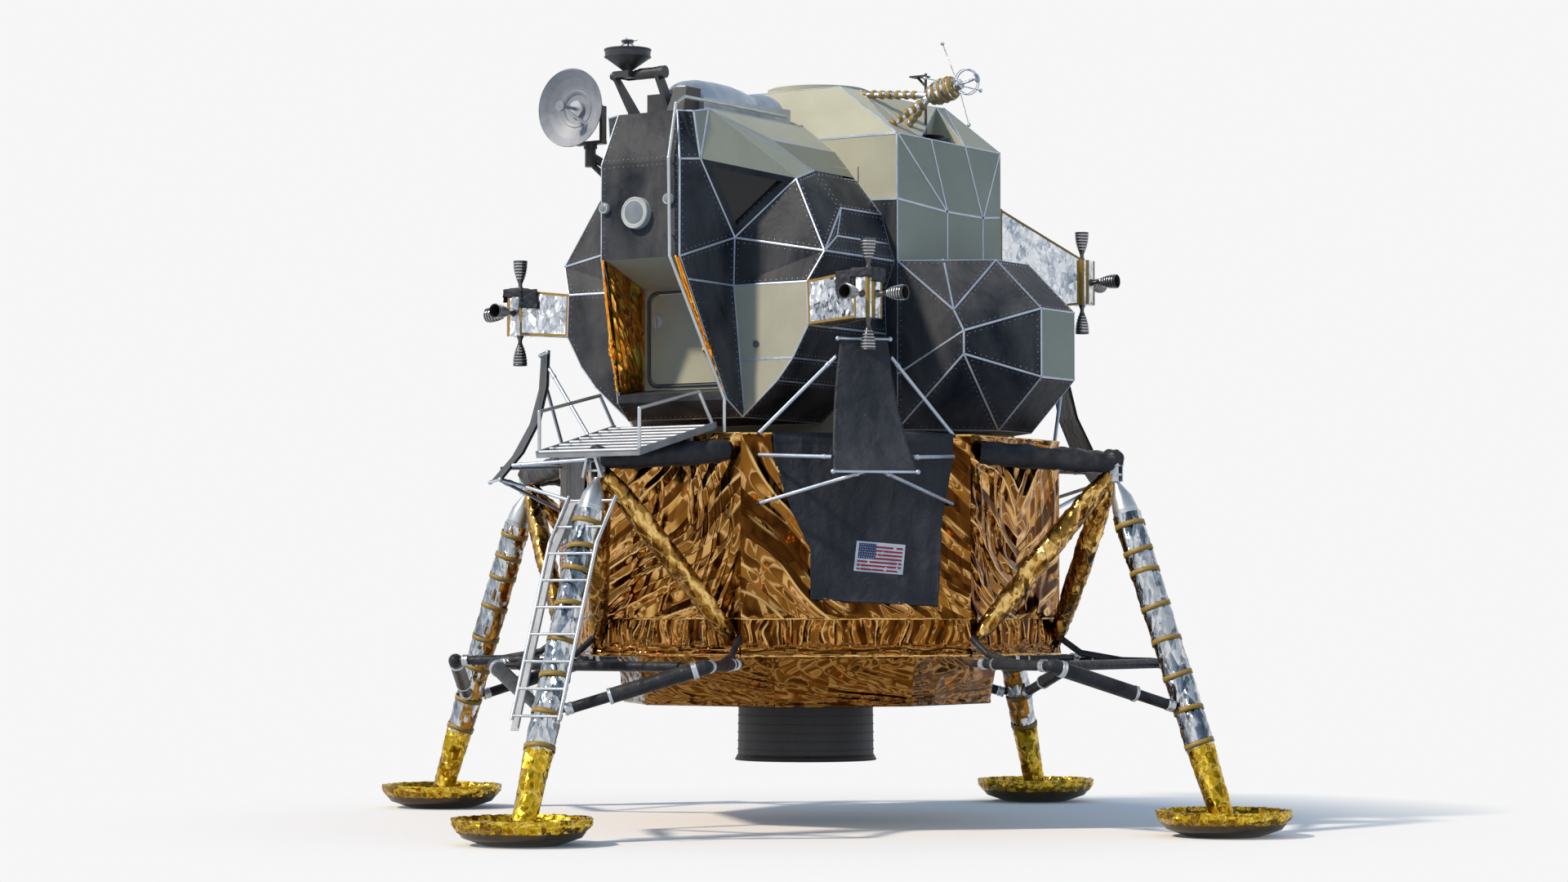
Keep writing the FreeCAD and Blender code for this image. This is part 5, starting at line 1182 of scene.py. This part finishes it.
for z in (5.66, 5.60, 5.215):
    dotted += rivet_line(rivets, Vector((-0.37, -2.541, z)), Vector((0.37, -2.541, z)), Vector((0, -1, 0)),
                         0.048 if z > 5.3 else 0.24)
print("cabin:", len(outer), "sheets,", len(pale), "pale,", made, "strip wings,", dotted, "rivets")
cover_plate = bmesh.new()
for side in (1, -1):  # one sheet runs over the small step behind the brow
    ring = [C["RL2"], C["R6"], C["b6"], C["c2"]]
    face = cover_plate.faces.new([cover_plate.verts.new(Vector((p.x * side, p.y, p.z))
                                                        + Vector((0.0018 * side, 0, 0.0018)))
                                  for p in ring])
    face.normal_update()
    if face.normal.z < 0:
        face.normal_flip()
thicken(piece("cabin_roof_sheets", cover_plate, roof_cream_painted_shade, smooth=0), 0.0015, -1)
piece("cabin_pale_sheets", plates(cabin, pale), cream_paint, smooth=0)
piece("recess_pale_sheets", plates(cabin, recess_back + recess_top, gap=0.004), cream_paint,
      smooth=0)
piece("cabin_edge_strips", strips, sky_tinted_strip_metal, smooth=0)
piece("cabin_rivets", rivets, rivet_metal, smooth=0)
cabin.free()

# %% Tank bays, aft bay and midsection
strips, rivets = bmesh.new(), bmesh.new()
P2, P3, P4 = (1.93, -0.65, 4.43), (2.03, -0.65, 4.25), (2.03, -0.65, 4.05)
BAY_SKIP = [[Vector((1.93, -0.65, 4.43)), Vector((2.45, -0.055, 4.46))]]
BAY_LINES = [[P2, (2.0, -0.05, 4.9)], [P4, (2.02, -0.05, 3.42)], [P2, (1.64, -0.345, 4.90)], [P3, (1.37, -0.651, 3.90)]]
for node in ("tank_bay_port", "tank_bay_starboard", "aft_bay"):
    solid_copy = flat_copy(node)
    shown = [f for f in solid_copy.faces if not (abs(f.normal.x) > 0.99
                                                 and abs(abs(f.calc_center_median().x) - 1.365) < 0.01)
             and not (node == "aft_bay" and f.normal.y < -0.9)]
    edge_strips(solid_copy, set(shown), strips, skip=BAY_SKIP)
    if node != "aft_bay":
        tree = BVHTree.FromBMesh(solid_copy)
        side, reach = (1, 1.0) if node == "tank_bay_port" else (-1, 0.63)
        for run in BAY_LINES:
            laid(strips, tree, [(side * (1.365 + (x - 1.365) * reach), y, z) for x, y, z in run])
    side_sheet = [f for f in shown if node != "aft_bay" and abs(f.normal.x) > 0.97]
    rivet_rows([f for f in shown if f not in side_sheet], rivets, skip=BAY_SKIP)
    if side_sheet:
        piece(node + "_pale_sheet", plates(solid_copy, side_sheet), cream_paint, smooth=0)
    solid_copy.free()
middle_copy = flat_copy("midsection")
SIDE_X, BOW_Y = 1.3665, -0.6515  # just outside the side and bow walls


def outer_wall(face):
    """Whether a midsection sheet shows from outside."""
    middle = face.calc_center_median()
    behind_cabin = abs(middle.x) < 0.96 and middle.z < 5.8 and -0.64 < middle.y < 0.9
    return (face.calc_area() > 0.004 and (middle - Vector((0, 0.235, 4.9))).dot(face.normal) > 0.5
            and face.normal.z > -0.5 and middle.y > -0.66 and not behind_cabin)


shown = [f for f in middle_copy.faces if outer_wall(f)]
made = edge_strips(middle_copy, set(shown), strips)
print("midsection:", len(shown), "sheets,", made, "wings")
under = [f for f in middle_copy.faces if f.normal.z < -0.5 and f.calc_center_median().z < 3.6]
lower = plates(middle_copy, under, gap=0.002)
for side in (1, -1):
    block(lower, (0.463, 0.003, 1.985), Matrix.Translation((side * 1.131, BOW_Y, 4.4175)))
    for z in (3.46, 5.375):
        rivet_line(rivets, Vector((side * 0.92, -0.6535, z)), Vector((side * 1.34, -0.6535, z)), Vector((0, -1, 0)))
piece("midsection_dark_sheets", lower, dark_skin, smooth=0)
middle_copy.free()
piece("bay_edge_strips", strips, sky_tinted_strip_metal, smooth=0)
piece("bay_rivets", rivets, rivet_metal, smooth=0)

# %% [markdown]
# The midsection's side walls carry extra strips over their joints: one long line under the eave, two uprights and
# four slanting ones that brace it.

# %% Midsection strips
SIDE_LINES = [((-0.642, 5.417), (0.185, 5.375)), ((0.185, 5.375), (0.809, 5.376)), ((0.809, 5.376), (1.110, 5.405)),
              ((0.190, 5.375), (0.190, 4.920)), ((0.805, 5.376), (0.805, 4.905)), ((-0.642, 5.985), (0.185, 5.375)),
              ((-0.084, 5.985), (0.190, 5.375)), ((0.497, 5.985), (0.800, 5.376)), ((1.110, 5.985), (0.815, 5.376))]
joints = bmesh.new()
for side in (1, -1):
    for (y0, z0), (y1, z1) in SIDE_LINES:
        a, b = Vector((side * SIDE_X, y0, z0)), Vector((side * SIDE_X, y1, z1))
        bar(joints, a, b, 0.018, 0.005, Vector((side, 0, 0)))
for x0, z0, x1, z1 in ((0.548, 5.985, 1.355, 5.985), (1.10, 5.425, 1.358, 5.416), (-0.548, 5.985, -1.355, 5.985),
                       (-1.10, 5.425, -1.358, 5.416)):
    a, b = Vector((x0, BOW_Y, z0)), Vector((x1, BOW_Y, z1))
    bar(joints, a, b, 0.018, 0.005, Vector((0, -1, 0)))
piece("midsection_joint_strips", joints, sky_tinted_strip_metal, smooth=0)
print(len(SIDE_LINES), "strips a side")

# %% [markdown]
# ## The hatch recess and the lamps
# The recess is lined with pale sheet, and its starboard wall with loose foil; a ribbon of the same foil edges the
# port side. The hatch has a soft dark seal and a small handle. The lamps are pale rings round grey glass.

# %% Recess, hatch and lamps
def turned(bm, profile, start, out, steps=40):
    """A spun profile (radius, height) set at a place, with its axis along out."""
    part = spun(bmesh.new(), profile, steps)
    bmesh.ops.transform(part, verts=part.verts, matrix=upright(start, out))
    pour(bm, part)


lining = bmesh.new()


def loose(seed, deep, fold):
    def push(flat, s, t):
        u = s * 1.0 / fold[0] + 0.6 * noise.noise(Vector((t * 3, s * 2, seed))) + 10
        v = t * 4.0 / fold[1] + 0.5 * noise.noise(Vector((s * 3, 0, seed))) + 10
        height, u = ridge(u, v * 0.4, seed)
        return 0.020 + deep * height * min(1, s * 9, (1 - s) * 9, t * 12, (1 - t) * 12), u, height
    return push


BEND, SILL = (-0.387, -2.478, 4.668), (-0.478, -1.835, 3.762)
cover(lining, [(-0.532, -2.100, 3.712), SILL, SILL, BEND], 24, 60, loose(3, 0.020, (0.23, 0.42)))
cover(lining, [BEND, SILL, (-0.478, -1.835, 4.612), (-0.378, -2.530, 4.812)], 60, 40, loose(4, 0.020, (0.21, 0.40)))
cover(lining, [(0.545, -2.084, 3.660), (0.566, -2.080, 3.660), (0.409, -2.545, 4.815), (0.380, -2.545, 4.815)], 4, 70,
      loose(8, 0.007, (0.5, 0.12)))
for side in (-1, 1):
    rim = [((side * 0.374, -2.560, 4.825), 0.010), ((side * 0.420, -2.435, 4.500), 0.016),
           ((side * 0.464, -2.310, 4.190), 0.020),
           ((side * 0.486, -2.256, 4.060), 0.038), ((side * 0.500, -2.210, 3.950), 0.018),
           ((side * 0.540, -2.105, 3.700), 0.012)]
    path = bmesh.new()
    sweep(path, [(between(Vector(a), Vector(b), k / 8), between(ra, rb, k / 8)) for (a, ra),
                 (b, rb) in zip(rim, rim[1:])
                 for k in range(8)], 14)
    crumple(path, 0.009, 0.045, side + 80)
    pour(lining, path)
piece("recess_foil", lining, recess_foil_painted_light, smooth=30)
seal = bmesh.new()
ring = []
for cx, cz, first in ((0.325, 3.875, -90), (0.325, 4.505, 0), (-0.325, 4.505, 90), (-0.325, 3.875, 180)):
    for step in range(7):
        a = math.radians(first + step * 15)
        ring.append(Vector((cx + 0.088 * math.cos(a), -1.838, cz + 0.088 * math.sin(a))))
for a, b in round_trip(ring):
    sweep(seal, [(a, 0.0125), (b, 0.0125)], 10)
piece("hatch_seal", seal, seal_grey)
handle = bmesh.new()
turned(handle, [(0, 0.010), (0.030, 0.010), (0.052, 0.006), (0.056, 0.0), (0, 0.0)], (-0.325, -1.831, 4.345),
       (0, -1, 0), 32)
sweep(handle, [((-0.325, -1.838, 4.345), 0.010), ((-0.325, -1.862, 4.345), 0.010)], 12)
sweep(handle, [((-0.330, -1.862, 4.385), 0.007), ((-0.325, -1.862, 4.345), 0.009), ((-0.318, -1.862, 4.270), 0.006)],
      12)
piece("hatch_handle", handle, lamp_ring_paint, "forward_hatch", 30)
lamps, lenses = bmesh.new(), bmesh.new()
NOSE_Y = -2.54
for x, z, r in ((-0.02, 5.20, 0.1325), (-0.36, 5.26, 0.045), (0.30, 5.30, 0.045)):
    deep = 0.062 if r > 0.1 else 0.036
    k = r / 0.1325
    turned(lamps, [(r * 1.01, 0), (r * 1.01, deep - 0.006 * k), (r * 0.97, deep + 0.002), (r * 0.90, deep + 0.002),
                   (r * 0.88, deep - 0.003),
                   (r * 0.86, deep + 0.001), (r * 0.74, deep + 0.001), (r * 0.72, deep - 0.004),
                   (r * 0.70, deep - 0.014),
                   (0, deep - 0.016)], (x, NOSE_Y, z), (0, -1, 0), 48)
    turned(lenses, [(r * 0.715, deep - 0.0015), (r * 0.55, deep + 0.002), (r * 0.3, deep + 0.004), (0, deep + 0.005)],
           (x, NOSE_Y, z),
           (0, -1, 0), 40)
piece("lamp_rings", lamps, lamp_ring_paint, smooth=30)
piece("lamp_lenses", lenses, lamp_glass, smooth=60)
ports = bmesh.new()
for spot, out in (((0.730, -1.881, 4.112), (0, -1, 0)), ((0.610, -2.105, 5.900), (0.77, -0.64, 0.02))):
    turned(ports, [(0.030, 0), (0.030, 0.008), (0.022, 0.012), (0.015, 0.006), (0, 0.004)], spot, out, 24)
piece("small_ports", ports, seal_grey, smooth=30)
print("recess lined,", 3, "lamps")

# %% [markdown]
# ## Thruster clusters
# Each cluster is a block on a boom, wrapped in bright foil with ochre tape on its edges. Four ribbed bells stand on
# it: a spun shell whose outside has fine steps, and a black inside. A black blanket is draped over the front blocks.

# %% Thruster clusters
BELL = [(0, 0.034), (0.042, 0.017), (0.066, 0.017), (0.092, 0.027), (0.130, 0.041), (0.172, 0.052), (0.216, 0.058),
        (0.264, 0.060)]
outside = [(0.0345, 0.001), (0.018, 0.042), (0.018, 0.066), (0.028, 0.090)]
outside += [(read_off(BELL, h) + 0.001, h) for h in (0.096 + number * 0.02 for number in range(9))]
outside += [(0.0615, 0.258), (0.0630, 0.262), (0.0630, 0.267), (0.0550, 0.267)]
RIB = [(-0.001, 0), (0.006, 0.002), (0.007, 0.006), (0.006, 0.010), (-0.001, 0.012)]
inside = [(0.0550, 0.266), (0.0530, 0.255), (0.0510, 0.216), (0.0450, 0.172), (0.0340, 0.130), (0.0200, 0.095),
          (0, 0.093)]
for word, side, y, z, out in (("port_front", 1, -1.828, 4.484, -1), ("starboard_front", -1, -1.828, 4.484, -1),
                              ("port_aft", 1, 1.828, 4.845, 1), ("starboard_aft", -1, 1.828, 4.845, 1)):
    centre = Vector((side * 1.81, y, z))
    bells, throats, tape, ribs = bmesh.new(), bmesh.new(), bmesh.new(), bmesh.new()
    for way, foot in (((0, 0, 1), 0.196), ((0, 0, -1), 0.196), ((side, 0, 0), 0.094), ((0, out, 0), 0.099)):
        spot = centre + Vector(way) * foot
        turned(bells, outside, spot, way, 40)
        turned(throats, inside, spot, way, 40)
        for number in range(6):
            h = 0.106 + number * 0.026
            r = read_off(BELL, h + 0.006)
            turned(ribs, [(r + a, h + b) for a, b in RIB], spot, way, 32)
    piece("thruster_bells_" + word, bells, bell_metal, smooth=24)
    piece("thruster_ribs_" + word, ribs, rib_metal, smooth=50)
    piece("thruster_throats_" + word, throats, inside_black, smooth=50)
    shape = flat_copy("rcs_" + word)
    taped = {f for f in shape.faces if f.calc_area() > 0.012}
    edge_strips(shape, taped, tape, 0.020, 0.0025, 0.14, 18)
    shape.free()
    crumple(tape, 0.002, 0.03, 5)
    piece("cluster_tape_" + word, tape, ochre_tape, smooth=0)
    if out > 0:
        continue
    drape = bmesh.new()
    sheet = bmesh.ops.create_grid(drape, x_segments=26, y_segments=26, size=1)
    for v in sheet["verts"]:  # a square sheet laid over the block's head, its borders hanging down
        gx, gy = v.co.x * 0.215, v.co.y * 0.180
        dx, dy = max(0, abs(gx) - 0.100), max(0, abs(gy) - 0.106)
        lobe = noise.noise(Vector((gx * 18, gy * 18, side * 2.0)))
        v.co = centre + Vector((math.copysign(min(abs(gx), 0.100) + 0.03 * dx, gx) + 0.010 * lobe,
                                math.copysign(min(abs(gy), 0.106) + 0.03 * dy, gy) + 0.008 * lobe,
                                0.212 - 1.0 * max(dx, dy) + 0.010 * lobe))
    flap = bmesh.ops.create_grid(drape, x_segments=14, y_segments=14, size=1)
    for v in flap["verts"]:  # the part that lies on the boom
        gx, gz = (v.co.x + 1) / 2, (v.co.y + 1) / 2
        lobe = noise.noise(Vector((gx * 5, gz * 4, side * 5.0)))
        v.co = centre + Vector((-side * (0.07 + 0.19 * gx), -0.104 + 0.013 * lobe + 0.012 * gx,
                                0.205 - 0.165 * gz - 0.01 * gx))
    bmesh.ops.recalc_face_normals(drape, faces=drape.faces)
    for face in drape.faces:
        if face.normal.dot(face.calc_center_median() - centre) < 0:
            face.normal_flip()
    thicken(piece("cluster_blanket_" + word, drape, black_cloth, smooth=60), 0.004, 1)
print(len(outside), "points in a bell's profile")

# %% [markdown]
# ## Aerials and the radar
# The dish on the starboard side is thin pale metal with a ring pressed into it. The aerial on the port roof is wound
# with bright foil and ochre tape; wire hoops stand round its tip.

# %% Dishes and aerials
pan = bmesh.new()
SPOT = Vector((-1.2, -1.80, 6.25))
turned(pan, [(0.336, 0.121), (0.341, 0.124), (0.345, 0.119), (0.338, 0.114)], SPOT, (0, -1, 0), 72)
turned(pan, [(0.165, 0.0325), (0.160, 0.036), (0.135, 0.028), (0.128, 0.021)], SPOT, (0, -1, 0), 56)
piece("dish_rings", pan, dish_paint, "sband_dish", 40)
hub = bmesh.new()
turned(hub, [(0.072, 0.005), (0.072, 0.040), (0.066, 0.046), (0.020, 0.048), (0.0, 0.048)], SPOT, (0, -1, 0), 40)
sweep(hub, [((-1.2, -1.84, 6.25), 0.012), ((-1.2, -2.05, 6.25), 0.010)], 12)
sweep(hub, [((-1.06, -1.835, 6.10), 0.014), ((-1.11, -1.90, 6.14), 0.016), ((-1.19, -2.03, 6.24), 0.010)], 12)
piece("dish_feed", hub, aluminium, "sband_dish", 30)
RADAR = (-0.4, -2.17)


def round_radar(angle, reach, z):
    return RADAR[0] + reach * math.cos(angle), RADAR[1] + reach * math.sin(angle), z


feed = bmesh.new()
for turn in (0, 120, 240):
    a = math.radians(turn)
    sweep(feed, [(round_radar(a, 0.165, 6.600), 0.0075), (round_radar(a, 0.020, 6.722), 0.0075)], 10)
    sweep(feed, [(round_radar(a + 1, 0.05, 6.735), 0.004), (round_radar(a + 1, 0.09, 6.750), 0.004)], 8)
turned(feed, [(0, 0), (0.040, 0), (0.052, 0.010), (0.060, 0.026), (0.052, 0.032), (0, 0.036)], (*RADAR, 6.712),
       (0, 0, 1), 32)
piece("radar_feed", feed, aluminium, "radar_dish", 30)
trim = bmesh.new()
turned(trim, [(0.199, 0.0), (0.203, 0.004), (0.203, 0.012), (0.199, 0.016)], (*RADAR, 6.648), (0, 0, 1), 56)
turned(trim, [(0.197, 0.0), (0.201, 0.003), (0.201, 0.008), (0.197, 0.011)], (*RADAR, 6.590), (0, 0, 1), 56)
piece("radar_rim_bands", trim, bracket_black, "radar_dish", 30)

HUB, TIP = Vector((1.470, -0.250, 6.345)), Vector((1.715, -0.250, 6.408))
LEAN = (TIP - HUB).normalized()
wound = bmesh.new()
for start, end, radius, turns in (((0.690, -0.170, 6.425), HUB, 0.0325, 7), ((1.200, -0.500, 6.075), HUB, 0.0325, 5),
                                  ((1.180, -0.190, 6.090), HUB - LEAN * 0.015, 0.0325, 4)):
    a, b = Vector(start), Vector(end)
    for number in range(turns):
        middle = 0.08 + 0.80 * number / turns
        half = 0.020 / (b - a).length
        sweep(wound, [(between(a, b, middle - half), radius), (between(a, b, middle - half * 0.6), radius + 0.006),
                      (between(a, b, middle + half * 0.6), radius + 0.006), (between(a, b, middle + half), radius)], 20)
SPINDLE = [(0, 0.052), (0.16, 0.088), (0.5, 0.104), (0.86, 0.100), (1, 0.078)]
FROM = HUB - LEAN * 0.030
for share in (0.10, 0.34, 0.58, 0.80, 0.95):
    rows = [(between(FROM, TIP, share + d), read_off(SPINDLE, min(1, share + d)) + lift)
            for d, lift in ((-0.075, -0.002), (-0.055, 0.006), (0.0, 0.009), (0.035, 0.006), (0.05, -0.002))]
    sweep(wound, rows, 28)
crumple(wound, 0.005, 0.03, 2)
piece("aerial_windings", wound, ochre_tape, smooth=40)
hoops = bmesh.new()
for turn, tall in ((0, 0.115), (60, 0.10), (120, 0.11)):
    a = math.radians(turn)
    across = LEAN.cross(Vector((math.sin(a), math.cos(a), 0.3))).normalized()
    points = [TIP + LEAN * (0.12 + tall * math.cos(t)) + across * (tall * math.sin(t)) for t in
              (math.tau * n / 20 for n in range(21))]
    sweep(hoops, [(p, 0.0042) for p in points], 8, caps=False)
piece("aerial_hoops", hoops, sky_tinted_strip_metal, smooth=60)
print("aerials dressed")

# %% [markdown]
# ## Roof, porch, ladder and nozzle details
# The vault over the roof has an arc of rivets. The porch is a tray of long slats; the tray's dark between them is
# painted shade. Each slat has a round nose made bright as a painted sheen, and three rows of small holes drawn as dark
# discs, their dark a painted shade inside the holes. Thin ring ribs run round the nozzle.

# %% Slats, rings and rivets
slats, dark = bmesh.new(), bmesh.new()
FRONT, REAR = Vector((0, -3.276, 3.165)), Vector((0, -2.175, 3.426))
run = (REAR - FRONT).normalized()
up = Vector((1, 0, 0)).cross(run)
COUNT = 8
noses = bmesh.new()
turn = Matrix((Vector((1, 0, 0)), run, up)).transposed().to_4x4()
for number in range(COUNT):
    middle = between(FRONT, REAR, (number + 0.5) / COUNT)
    block(slats, (1.030, 0.118, 0.006), Matrix.Translation(middle + up * 0.003) @ turn)
    lip = middle - run * 0.050 + up * 0.012
    sweep(noses, [(lip - Vector((0.500, 0, 0)), 0.011), (lip + Vector((0.500, 0, 0)), 0.011)], 12)
    # Rows of flat dark discs stand for holes; their dark is painted shade inside the holes.
    for row in (-0.018, 0.012, 0.042):
        for spot in range(30):
            x = -0.493 + spot * 0.986 / 29
            bmesh.ops.create_circle(dark, cap_ends=True, segments=6, radius=0.0075,
                                    matrix=Matrix.Translation(middle + Vector((x, 0, 0)) + run * row + up * 0.0064)
                                    @ turn)
bmesh.ops.recalc_face_normals(dark, faces=dark.faces)
bmesh.ops.reverse_faces(dark, faces=[f for f in dark.faces if f.normal.z < 0])
for s in (-1, 1):
    aside = Vector((s * 0.520, 0, 0))
    block(slats, ((REAR - FRONT).length, 0.022, 0.044), aim(FRONT + aside, REAR + aside))
piece("porch_slats", slats, slat_metal, smooth=30)
piece("porch_slat_noses", noses, nose_metal_painted_sheen, smooth=60)
piece("porch_holes", dark, seal_grey, smooth=0)
# A dark sheet under the slats: painted shade in the gaps between them.
between_slats = bmesh.new()
block(between_slats, ((REAR - FRONT).length * 0.985, 1.02, 0.003), aim(FRONT + up * 0.0015, REAR + up * 0.0015))
piece("porch_tray", between_slats, seal_grey, smooth=0)

shield = bmesh.new()
for (y0, z0), (y1, z1) in (((-3.206, 2.771), (-3.499, 2.334)), ((-3.499, 2.334), (-4.002, 0.900))):
    block(shield, ((Vector((0, y1, z1)) - Vector((0, y0, z0))).length, 0.080, 0.005),
          aim(Vector((-0.250, y0 + 0.085, z0)), Vector((-0.250, y1 + 0.085, z1)), Vector((0, -1, 0))))
piece("ladder_back_strip", shield, slat_metal, smooth=0)
disc = bmesh.new()
turned(disc, [(0, 0.016), (0.060, 0.012), (0.140, -0.002), (0.146, -0.004), (0.146, -0.009), (0, 0.002)],
       (1.290, 0.000, 6.035), (0, 0, 1), 40)
piece("umbrella_disc", disc, bracket_black, smooth=50)
close = bmesh.new()
for side in (-1, 1):
    block(close, (0.090, 0.016, 0.130), Matrix.Translation((side * 0.925, -0.653, 5.655)))
piece("brow_end_sheets", close, cream_paint, smooth=0)
prop = bmesh.new()
for x in (-1, 1):
    block(prop, (0.175, 0.024, 0.036), aim(Vector((x * 0.040, -3.215, 3.128)), Vector((x * 0.095, -3.200, 2.960)),
                                           Vector((0, 1, 0))))
block(prop, (0.120, 0.060, 0.016), Matrix.Translation((0, -3.205, 3.128)))
piece("porch_prop", prop, aluminium, smooth=30)
rings = bmesh.new()
for number in range(9):
    z = 0.640 + number * 0.075
    r = 0.604 - 0.006 * min(1, max(0, (z - 0.6) / 0.5)) + (0 if z < 1.10 else -0.24 * (z - 1.10))
    turned(rings, [(r - 0.001, -0.006), (r + 0.005, -0.004), (r + 0.005, 0.004), (r - 0.001, 0.006)], (0, 0, z),
           (0, 0, 1), 96)
turned(rings, [(0.622, 0.0), (0.630, 0.003), (0.631, 0.010), (0.624, 0.014)], (0, 0, 0.546), (0, 0, 1), 96)
piece("nozzle_rings", rings, nozzle_coat, "engine", 30)
dots = bmesh.new()
for number in range(17):
    a = math.radians(20 + number * 140 / 16)
    out = Vector((math.cos(a), 0, math.sin(a)))
    bmesh.ops.create_cone(dots, cap_ends=True, segments=6, radius1=0.006, radius2=0.003, depth=0.005,
                          matrix=upright(Vector((0, -1.30, 6.139)) + out * 0.2845, out))
piece("vault_rivets", dots, rivet_metal, smooth=0)
print(COUNT, "slats")

# %% [markdown]
# ## Floor, backdrop and light
# The floor is pale and keeps a soft shadow; far out it turns into the same white as the backdrop. Both whites are only
# seen, and light nothing. One wide sun stands high off the starboard bow, and a blue sky fills the shaded sides.

# %% Floor and light
floor_mesh = bmesh.new()
bmesh.ops.create_circle(floor_mesh, cap_ends=True, segments=128, radius=120)
floor_data = bpy.data.meshes.new("floor")
floor_mesh.to_mesh(floor_data)
floor_mesh.free()
floor = bpy.data.objects.new("floor", floor_data)
bpy.context.scene.collection.objects.link(floor)
WHITE, FADE = (0.925, 0.925, 0.925), 20.0


def direct(tree):
    """1 for rays straight from the eye, a mirror or glass; 0 for those that carry light to the lander."""
    path = add(tree, "LightPath")
    rays = [path.outputs["Is %s Ray" % kind] for kind in ("Camera", "Glossy", "Transmission")]
    return value_of(tree, "MAXIMUM", value_of(tree, "MAXIMUM", rays[0], rays[1]), rays[2])


ground, tree, shader = finish("ground", 0.0, 1.0)
plug(tree, shader, {"Base Color": (0.87, 0.815, 0.745, 1), "Emission Color": (0.60, 0.85, 1, 1),
                    "Emission Strength": 0.05, "Specular IOR Level": 0.0})
pale = plug(tree, add(tree, "Emission"), {"Color": (*WHITE, 1)})
reach = vector_of(tree, "LENGTH", add(tree, "TexCoord").outputs["Object"]).outputs["Value"]
far = ramp(tree, value_of(tree, "DIVIDE", reach, FADE), [(0.205, (0, 0, 0)), (0.36, (1, 1, 1))])
blend = plug(tree, add(tree, "MixShader"), {0: far, 1: shader.outputs[0], 2: pale.outputs[0]})
dull = plug(tree, add(tree, "BsdfDiffuse"), {"Color": (0.19, 0.235, 0.29, 1)})
shown = plug(tree, add(tree, "MixShader"), {0: direct(tree), 1: dull.outputs[0], 2: blend.outputs[0]})
tree.links.new(shown.outputs[0], tree.nodes["Material Output"].inputs["Surface"])
floor_data.materials.append(ground)

world = bpy.data.worlds.new("studio")
bpy.context.scene.world = world
world.use_nodes = True
tree = world.node_tree
tree.nodes.clear()
height = plug(tree, add(tree, "SeparateXYZ"), {0: add(tree, "TexCoord").outputs["Generated"]}).outputs[2]
heaven = ramp(tree, height, [(0.0, WHITE), (0.30, WHITE), (0.62, (0.42, 0.50, 0.60)), (1.0, (0.20, 0.25, 0.32))])
backdrop = plug(tree, add(tree, "Background"), {"Color": heaven})
sky = plug(tree, add(tree, "Background"), {"Color": (0.435, 0.60, 0.86, 1), "Strength": 0.77})
choice = plug(tree, add(tree, "MixShader"), {0: direct(tree), 1: sky.outputs[0], 2: backdrop.outputs[0]})
tree.links.new(choice.outputs[0], add(tree, "OutputWorld").inputs["Surface"])

sun = bpy.data.objects.new("sun", bpy.data.lights.new("sun", "SUN"))
sun.data.energy = 3.15
sun.data.angle = math.radians(4)
sun.data.color = (1.0, 0.91, 0.80)
sun.rotation_euler = Vector((0.40, 0.78, -0.82)).to_track_quat("-Z", "Y").to_euler()
bpy.context.scene.collection.objects.link(sun)
bpy.context.scene.view_settings.view_transform = "Standard"
print("lit")
